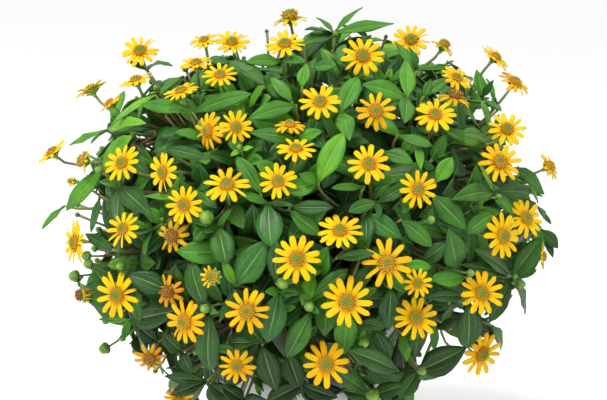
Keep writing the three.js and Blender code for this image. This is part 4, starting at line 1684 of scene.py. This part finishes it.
def makeRayMaterial():
    values = {
        "Specular IOR Level": rayFinish["specular"],
        "Subsurface Weight": rayFinish["glow"],
        "Subsurface Scale": rayFinish["glowReach"] * mm,
        "Subsurface Radius": rayFinish["glowColour"],
    }
    look = Finish("goldenFloret", rayFinish["roughness"], **values)
    shade = look.varied(look.number("tone"), look.noise(220, 3), 0.35)
    colour = look.ramp(shade, rayFinish["ramp"])
    colour = look.blend(look.band(look.number("along"), 0.05, 0.42, 0.8, 0), colour, rayFinish["base"])
    lines = look.size(look.sum("SINE", look.times(look.number("across"), rayFinish["lines"])))
    colour = look.blend(look.band(lines, 0.0, 0.5, 0.3, 0), colour, rayFinish["base"])
    # the underside: partly its own paler yellow, partly painted light that lifts it out of its shade
    under = look.times(look.less(1.0, look.number("side")), 0.8)
    look.use("Base Color", look.blend(under, colour, rayFinish["under"]))
    look.bump(lines, 0.5, 0.25)
    return look.material


discFinish = {
    "young": ((0.0, (104, 122, 22)), (0.5, (120, 138, 30)), (1.0, (146, 156, 44))),
    "open": ((0.0, (158, 112, 14)), (0.5, (190, 138, 18)), (1.0, (226, 176, 34))),
    "old": ((0.0, (96, 58, 14)), (0.5, (128, 82, 18)), (1.0, (168, 118, 36))),
    "roughness": 0.7,
    "ageShift": 0.6,  # how far towards the middle age opens the florets
    "openBand": (0.5, 0.9),
    "oldBand": (0.6, 0.95),
}


def makeDiscMaterial():
    look = Finish("discFlorets", discFinish["roughness"])
    tone, along, across = (look.number(label) for label in ("tone", "along", "across"))
    young, opened, old = (look.ramp(along, discFinish[label]) for label in ("young", "open", "old"))
    ring = look.sum("ADD", across, look.times(tone, discFinish["ageShift"]))
    colour = look.blend(look.band(ring, *discFinish["openBand"]), young, opened)
    look.use("Base Color", look.blend(look.band(tone, *discFinish["oldBand"]), colour, old))
    look.bump(look.noise(2400, 2), 0.5, 0.2)
    return look.material


budFinish = {
    "ramp": ((0.0, (56, 96, 26)), (0.5, (94, 138, 40)), (1.0, (164, 192, 62))),
    "tip": (150, 180, 70),
    "edge": (48, 84, 24),
    "roughness": 0.5,
}


def makeBudMaterial():
    look = Finish("budGreen", budFinish["roughness"])
    patches = look.noise(400, 3)
    colour = look.ramp(look.varied(look.number("tone"), patches, 0.5), budFinish["ramp"])
    colour = look.blend(look.band(look.number("along"), 0.6, 1.0, 0, 0.5), colour, budFinish["tip"])
    edge = look.band(look.size(look.number("across")), 0.55, 1.0, 0, 0.6)
    look.use("Base Color", look.blend(edge, colour, budFinish["edge"]))
    look.bump(patches, 0.4, 0.3)
    return look.material


potFinish = {"wall": (232, 233, 230), "dust": (190, 182, 166), "dirt": 0.18, "gloss": (0.34, 0.5)}


def makePotMaterial():
    look = Finish("whiteMouldedPlastic", 0.4)
    dust = look.noise(40, 5)
    scuffs = look.noise(600, 2, (1, 1, 0.1))
    dirt = look.times(look.band(dust, 0.45, 0.75), look.band(scuffs, 0.3, 0.7))
    dirt = look.times(dirt, potFinish["dirt"])
    look.use("Base Color", look.blend(dirt, potFinish["wall"], potFinish["dust"]))
    look.use("Roughness", look.band(dust, 0.3, 0.7, *potFinish["gloss"]))
    look.bump(scuffs, 0.12, 0.2)
    return look.material


mixFinish = {
    "crumbs": ((0.25, (30, 20, 14)), (0.5, (58, 40, 27)), (0.75, (104, 76, 50))),
    "fibre": (120, 88, 56),
}


def makeMixMaterial():
    look = Finish("dampPottingMix", 0.9)
    crumbs = look.noise(500, 6)
    fibres = look.band(look.noise(160, 4, (1, 0.3, 1)), 0.55, 0.75, 0, 0.5)
    look.use("Base Color", look.blend(fibres, look.ramp(crumbs, mixFinish["crumbs"]), mixFinish["fibre"]))
    look.bump(crumbs, 0.9, 1.2)
    return look.material


barkFinish = {"ramp": ((0.3, (70, 50, 30)), (0.5, (112, 86, 52)), (0.72, (150, 128, 84)))}


def makeBarkMaterial():
    look = Finish("youngBark", 0.8)
    streaks = look.noise(350, 5, (1, 1, 0.3))
    look.use("Base Color", look.ramp(streaks, barkFinish["ramp"]))
    look.bump(streaks, 0.8, 0.8)
    return look.material


# The pot, its mix and the crown.


def arcPoints(centre, radius, first, last, steps):
    turns = np.radians(np.linspace(first, last, steps))
    return [(centre[0] + radius * math.cos(a), centre[1] + radius * math.sin(a)) for a in turns]


def makePot(material):
    p = potSize
    rimFoot = p["height"] - p["rimHeight"]
    slope = (p["shoulderRadius"] - p["baseRadius"]) / rimFoot
    edge = p["rimEdge"]
    fillet, lip = p["fillet"], p["lip"]
    profile = [(0.0, 0.0)]
    profile += arcPoints((p["baseRadius"] - fillet, fillet), fillet, -90, -8, p["arcSteps"])
    heights = np.linspace(fillet + 3, rimFoot - 1, p["rows"]["wall"])
    profile += [(p["baseRadius"] + slope * z, z) for z in heights]
    profile += arcPoints((p["rimRadius"] - edge, rimFoot + edge), edge, -90, 0, p["arcSteps"])
    profile += [(p["rimRadius"], z) for z in np.linspace(rimFoot + 3, p["height"] - 3, p["rows"]["rim"])]
    profile += arcPoints((p["rimRadius"] - edge, p["height"] - edge), edge, 0, 90, p["arcSteps"])
    insideTop = p["rimRadius"] - p["wall"] - edge
    profile += arcPoints((insideTop + lip, p["height"] - lip), lip, 90, 180, p["lipSteps"])
    profile += [(p["shoulderRadius"] - p["wall"], rimFoot - edge)]
    inner = p["baseRadius"] + slope * p["floor"] - p["wall"]
    heights = np.linspace(rimFoot - 8, p["floor"], p["rows"]["inside"])
    profile += [(inner + slope * (z - p["floor"]), z) for z in heights]
    profile += [(0.0, p["floor"])]
    heap = newHeap()
    addTurned(heap, profile, p["sides"])
    piece = meshFromHeap("nurseryPot", heap, {"bud": material})
    drills = newHeap()
    for i in range(p["drainHoles"]):
        turn = i / p["drainHoles"] * 2 * math.pi
        place = np.array((math.cos(turn), math.sin(turn), 0.0)) * p["drainRing"]
        radius, wide = p["drainRadius"], p["drainRadius"] + p["drainChamfer"]
        drill = [(0, -5), (wide, -5), (wide, 0), (radius, p["drainChamfer"]), (radius, 8), (0, 8)]
        addTurned(drills, drill, p["drainSides"], place)
    cutter = meshFromHeap("drainDrills", drills, {"bud": material})
    cut = piece.modifiers.new("drainHoles", "BOOLEAN")
    cut.object = cutter
    cut.solver = "EXACT"
    applyModifiers(piece)
    bpy.data.objects.remove(cutter)
    return piece


def applyModifiers(piece):
    graph = bpy.context.evaluated_depsgraph_get()
    mesh = bpy.data.meshes.new_from_object(piece.evaluated_get(graph))
    piece.modifiers.clear()
    piece.data = mesh


def makeMix(material, draw):
    p = potSize
    rimFoot = p["height"] - p["rimHeight"]
    inset = p["wall"] + mixSize["gap"]
    low = p["floor"] + mixSize["floorGap"]
    edge = p["height"] - mixSize["belowRim"]

    def wall(z):
        return p["baseRadius"] + (p["shoulderRadius"] - p["baseRadius"]) * z / rimFoot - inset

    foot, (wallRows, topRows) = mixSize["footEdge"], mixSize["rows"]
    profile = [(0, low), (wall(low) - foot, low), (wall(low), low + foot)]
    profile += [(wall(z), z) for z in np.linspace(mixSize["wallFoot"], rimFoot - 2, wallRows)]
    profile += [(wall(rimFoot), edge - mixSize["topEdge"])]
    top = wall(rimFoot)
    for radius in np.linspace(top - 0.8, 2, topRows):
        share = min((top - radius) / (top - mixSize["flatRadius"]), 1)
        profile.append((radius, edge + mixSize["mound"] * share))
    profile.append((0, mixTop))
    heap = newHeap()
    addTurned(heap, profile, mixSize["sides"])
    points = heap["points"][0]
    for point in points:
        if point[2] > edge - 1:
            point[2] -= draw.uniform(0, mixSize["settled"])
            shift = np.array((nudge(draw, mixSize["shifted"]), nudge(draw, mixSize["shifted"])))
            point[:2] += shift * (np.hypot(*point[:2]) < top - 2)
    ball = [(math.cos(a), math.sin(a)) for a in np.radians((-90, -45, 0, 45, 90))]
    for i in range(mixSize["crumbs"]):
        radius = (top - mixSize["crumbInset"]) * math.sqrt(draw.random())
        turn = draw.uniform(0, fullTurn)
        share = min((top - radius) / (top - mixSize["flatRadius"]), 1)
        height = edge + mixSize["mound"] * share - mixSize["crumbSink"]
        size = draw.uniform(*mixSize["crumbSize"])
        squash = np.diag([size * draw.uniform(*ends) for ends in mixSize["crumbShape"]])
        lean = mixSize["crumbLean"]
        axis = unit(np.array((draw.gauss(0, lean), draw.gauss(0, lean), 1)))
        matrix = squash @ standOn(axis, draw.uniform(0, fullTurn))
        place = np.array((radius * math.cos(turn), radius * math.sin(turn), height))
        if radius < crownSize["radius"] + mixSize["crownRoom"]:
            continue
        addLathe(heap, ball, mixSize["crumbSides"], place, matrix, "bud")
    return meshFromHeap("pottingMix", heap, {"bud": material})


def makeCrown(material):
    heap = newHeap()
    foot = crownSize["gap"] - crownSize["sink"]
    start = math.asin(foot / crownSize["radius"])
    profile = [(0, foot)]
    for a in np.linspace(start, math.pi / 2, crownSize["rows"])[:-1]:
        profile.append((crownSize["radius"] * math.cos(a), crownSize["radius"] * math.sin(a)))
    profile.append((0, crownSize["radius"]))
    addTurned(heap, profile, crownSize["sides"])
    points = heap["points"][0]
    turn = np.arctan2(points[:, 1], points[:, 0])
    ridges = 1
    for depth, count, lean in crownSize["ridges"]:
        ridges = ridges + depth * np.sin(turn * count + points[:, 2] * lean)
    points[:, :2] *= ridges[:, None]
    points += crownCentre
    return meshFromHeap("crownKnob", heap, {"bud": material})


# Build the plant.

print("planning the plant")
heads = placeHeads()
tuckBackHeads(heads)
draw = random.Random(11)
for item in heads:
    standHead(item)
trunks, shoots = planShoots(heads)
seen = planSeen(trunks, draw)
fill = planFill(heads, trunks, seen, draw)
print(len(heads), "heads,", len(shoots), "stalks,", len(seen), "seen shoots,", len(fill), "leafy shoots")

branchHeaps = [newHeap() for i in range(branchPlan["count"])]
for shoot in shoots + seen:
    addShootStem(branchHeaps[shoot.owner], shoot, draw)
print("leaves")
for shoot in seen:
    heap = branchHeaps[shoot.owner]
    for row in shoot.leaves:
        addSeenLeaf(heap, shoot, row, draw)
    if shoot.bud:
        tip, axis, size = shoot.path[-1], shoot.axis, shoot.bud
        addBud(heap, tip - axis * size * budLook["stalkSink"], axis, size, draw)
        middle = tip + axis * size * budLook["middle"]
        stand(*budRough(middle, size))
        keepInSight(middle + budMarks * size)
    if shoot.spent:
        standHead(shoot.spent)
        addHead(heap, shoot.spent, draw, discLook["branchFlorets"])
order = sorted(range(len(shoots + fill)), key=lambda k: (k * goldenAngle) % 1)
every = [(shoots + fill)[k] for k in order] + seen
for n, shoot in enumerate(every):
    shoot.grown = growPairs(branchHeaps[shoot.owner], shoot, draw, n * goldenAngle)
fill = [shoot for shoot in fill if shoot.grown > 0]  # a shoot with no room for any leaf doesn't grow
for shoot in fill:
    addShootStem(branchHeaps[shoot.owner], shoot, draw)
for shoot in fill + [one for one in shoots if one.item and one.item["hanging"]]:
    place = shoot.path[-1] - shoot.axis * fillLook["budSink"]
    radius = draw.uniform(*fillLook["budRadius"])
    addBud(branchHeaps[shoot.owner], place, shoot.axis, radius, draw)
print(leafTally)

print("flower heads")
headHeaps = []
for item in heads:
    heap = newHeap() if item["own"] else branchHeaps[nearestBranch(item["place"])]
    addHead(heap, item, draw, discLook["florets" if item["own"] else "branchFlorets"])
    if item["own"]:
        headHeaps.append(heap)

print("meshes and materials")
materials = {
    "leaf": makeLeafMaterial(),
    "stem": makeStemMaterial(),
    "ray": makeRayMaterial(),
    "disc": makeDiscMaterial(),
    "bud": makeBudMaterial(),
}
pieces = []
for i, heap in enumerate(branchHeaps, 1):
    pieces.append((meshFromHeap(f"leafyBranch_{i:02d}", heap, materials), f"branch_{i:02d}", "leaf"))
for i, heap in enumerate(headHeaps, 1):
    piece = meshFromHeap(f"flowerHead_{i:02d}", heap, materials)
    pieces.append((piece, f"flower_head_{i:02d}", "ray_floret"))
pieces.append((makePot(makePotMaterial()), "pot", "pot"))
pieces.append((makeMix(makeMixMaterial(), draw), "potting_mix", "potting_mix"))
pieces.append((makeCrown(makeBarkMaterial()), "crown", "bark"))
for piece, node, slotName in pieces:
    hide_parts(node)
    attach(piece, "root")
print(sum(len(poly.vertices) - 2 for piece, *rest in pieces for poly in piece.data.polygons), "triangles")

# Floor, light and camera.

studio = {
    "floorRadius": 12.0,
    "floorDepth": 20,
    "floorSides": 64,
    "floorRings": (0.3, 0.1, 0.03),
    "floorColour": (0.97, 0.97, 0.97, 1),
    "horizon": 0.4,
    "zenith": 1.3,
    "backdrop": 1.0,
    "aim": (0, 0, 0.15),
    "key": {"place": (-0.8, -1.3, 2.5), "size": 1.2, "watts": 125},
    "fill": {"place": (1.6, -1.6, 1.0), "size": 1.8, "watts": 16},
}


def makeFloor():
    heap = newHeap()
    radius = studio["floorRadius"] / mm
    low = -studio["floorDepth"]
    profile = [(0, low), (radius, low), (radius, 0)]
    profile += [(radius * share, 0) for share in studio["floorRings"]] + [(0, 0)]
    addTurned(heap, profile, studio["floorSides"])
    look = Finish("palePaperFloor", 0.9, **{"Base Color": studio["floorColour"]})
    floor = meshFromHeap("studioFloor", heap, {"bud": look.material})


def addLamp(name, row):
    lamp = bpy.data.lights.new(name, "AREA")
    lamp.shape = "DISK"
    lamp.size = row["size"]
    lamp.energy = row["watts"]
    holder = addObject(name, lamp)
    place = np.array(row["place"])
    aim = np.array(studio["aim"]) - place
    holder.location = place
    lean = math.acos(aim[2] / np.linalg.norm(aim)) - math.pi
    holder.rotation_euler = (lean, 0, math.atan2(aim[1], aim[0]) - math.pi / 2)


def lightStudio():
    world = bpy.data.worlds.new("studioWorld")
    world.use_nodes = True
    bpy.context.scene.world = world
    tree = world.node_tree
    sky = tree.nodes["Background"]
    sky.inputs["Color"].default_value = (1, 1, 1, 1)
    direction = tree.nodes.new("ShaderNodeTexCoord")
    split = tree.nodes.new("ShaderNodeSeparateXYZ")
    tree.links.new(direction.outputs["Generated"], split.inputs[0])
    light = tree.nodes.new("ShaderNodeMapRange")
    light.inputs["To Min"].default_value = studio["horizon"]
    light.inputs["To Max"].default_value = studio["zenith"]
    tree.links.new(split.outputs["Z"], light.inputs["Value"])
    path = tree.nodes.new("ShaderNodeLightPath")
    strength = tree.nodes.new("ShaderNodeMapRange")
    strength.inputs["To Max"].default_value = studio["backdrop"]
    tree.links.new(light.outputs[0], strength.inputs["To Min"])
    tree.links.new(path.outputs["Is Camera Ray"], strength.inputs["Value"])
    tree.links.new(strength.outputs[0], sky.inputs["Strength"])
    addLamp("keyLamp", studio["key"])
    addLamp("fillLamp", studio["fill"])
    bpy.context.scene.view_settings.view_transform = "Standard"


def makeCamera():
    lens = bpy.data.cameras.new("frontCamera")
    halfWidth = frontView["width"] * frontView["pixel"] / frontView["distance"] / 2
    lens.sensor_width = 36
    lens.lens = lens.sensor_width / 2 / halfWidth
    lens.clip_end = 100
    camera = addObject("frontCamera", lens)
    camera.location = eye * mm
    camera.rotation_euler = (math.pi / 2 - frontView["elevation"], 0, 0)
    bpy.context.scene.camera = camera


makeFloor()
lightStudio()
makeCamera()
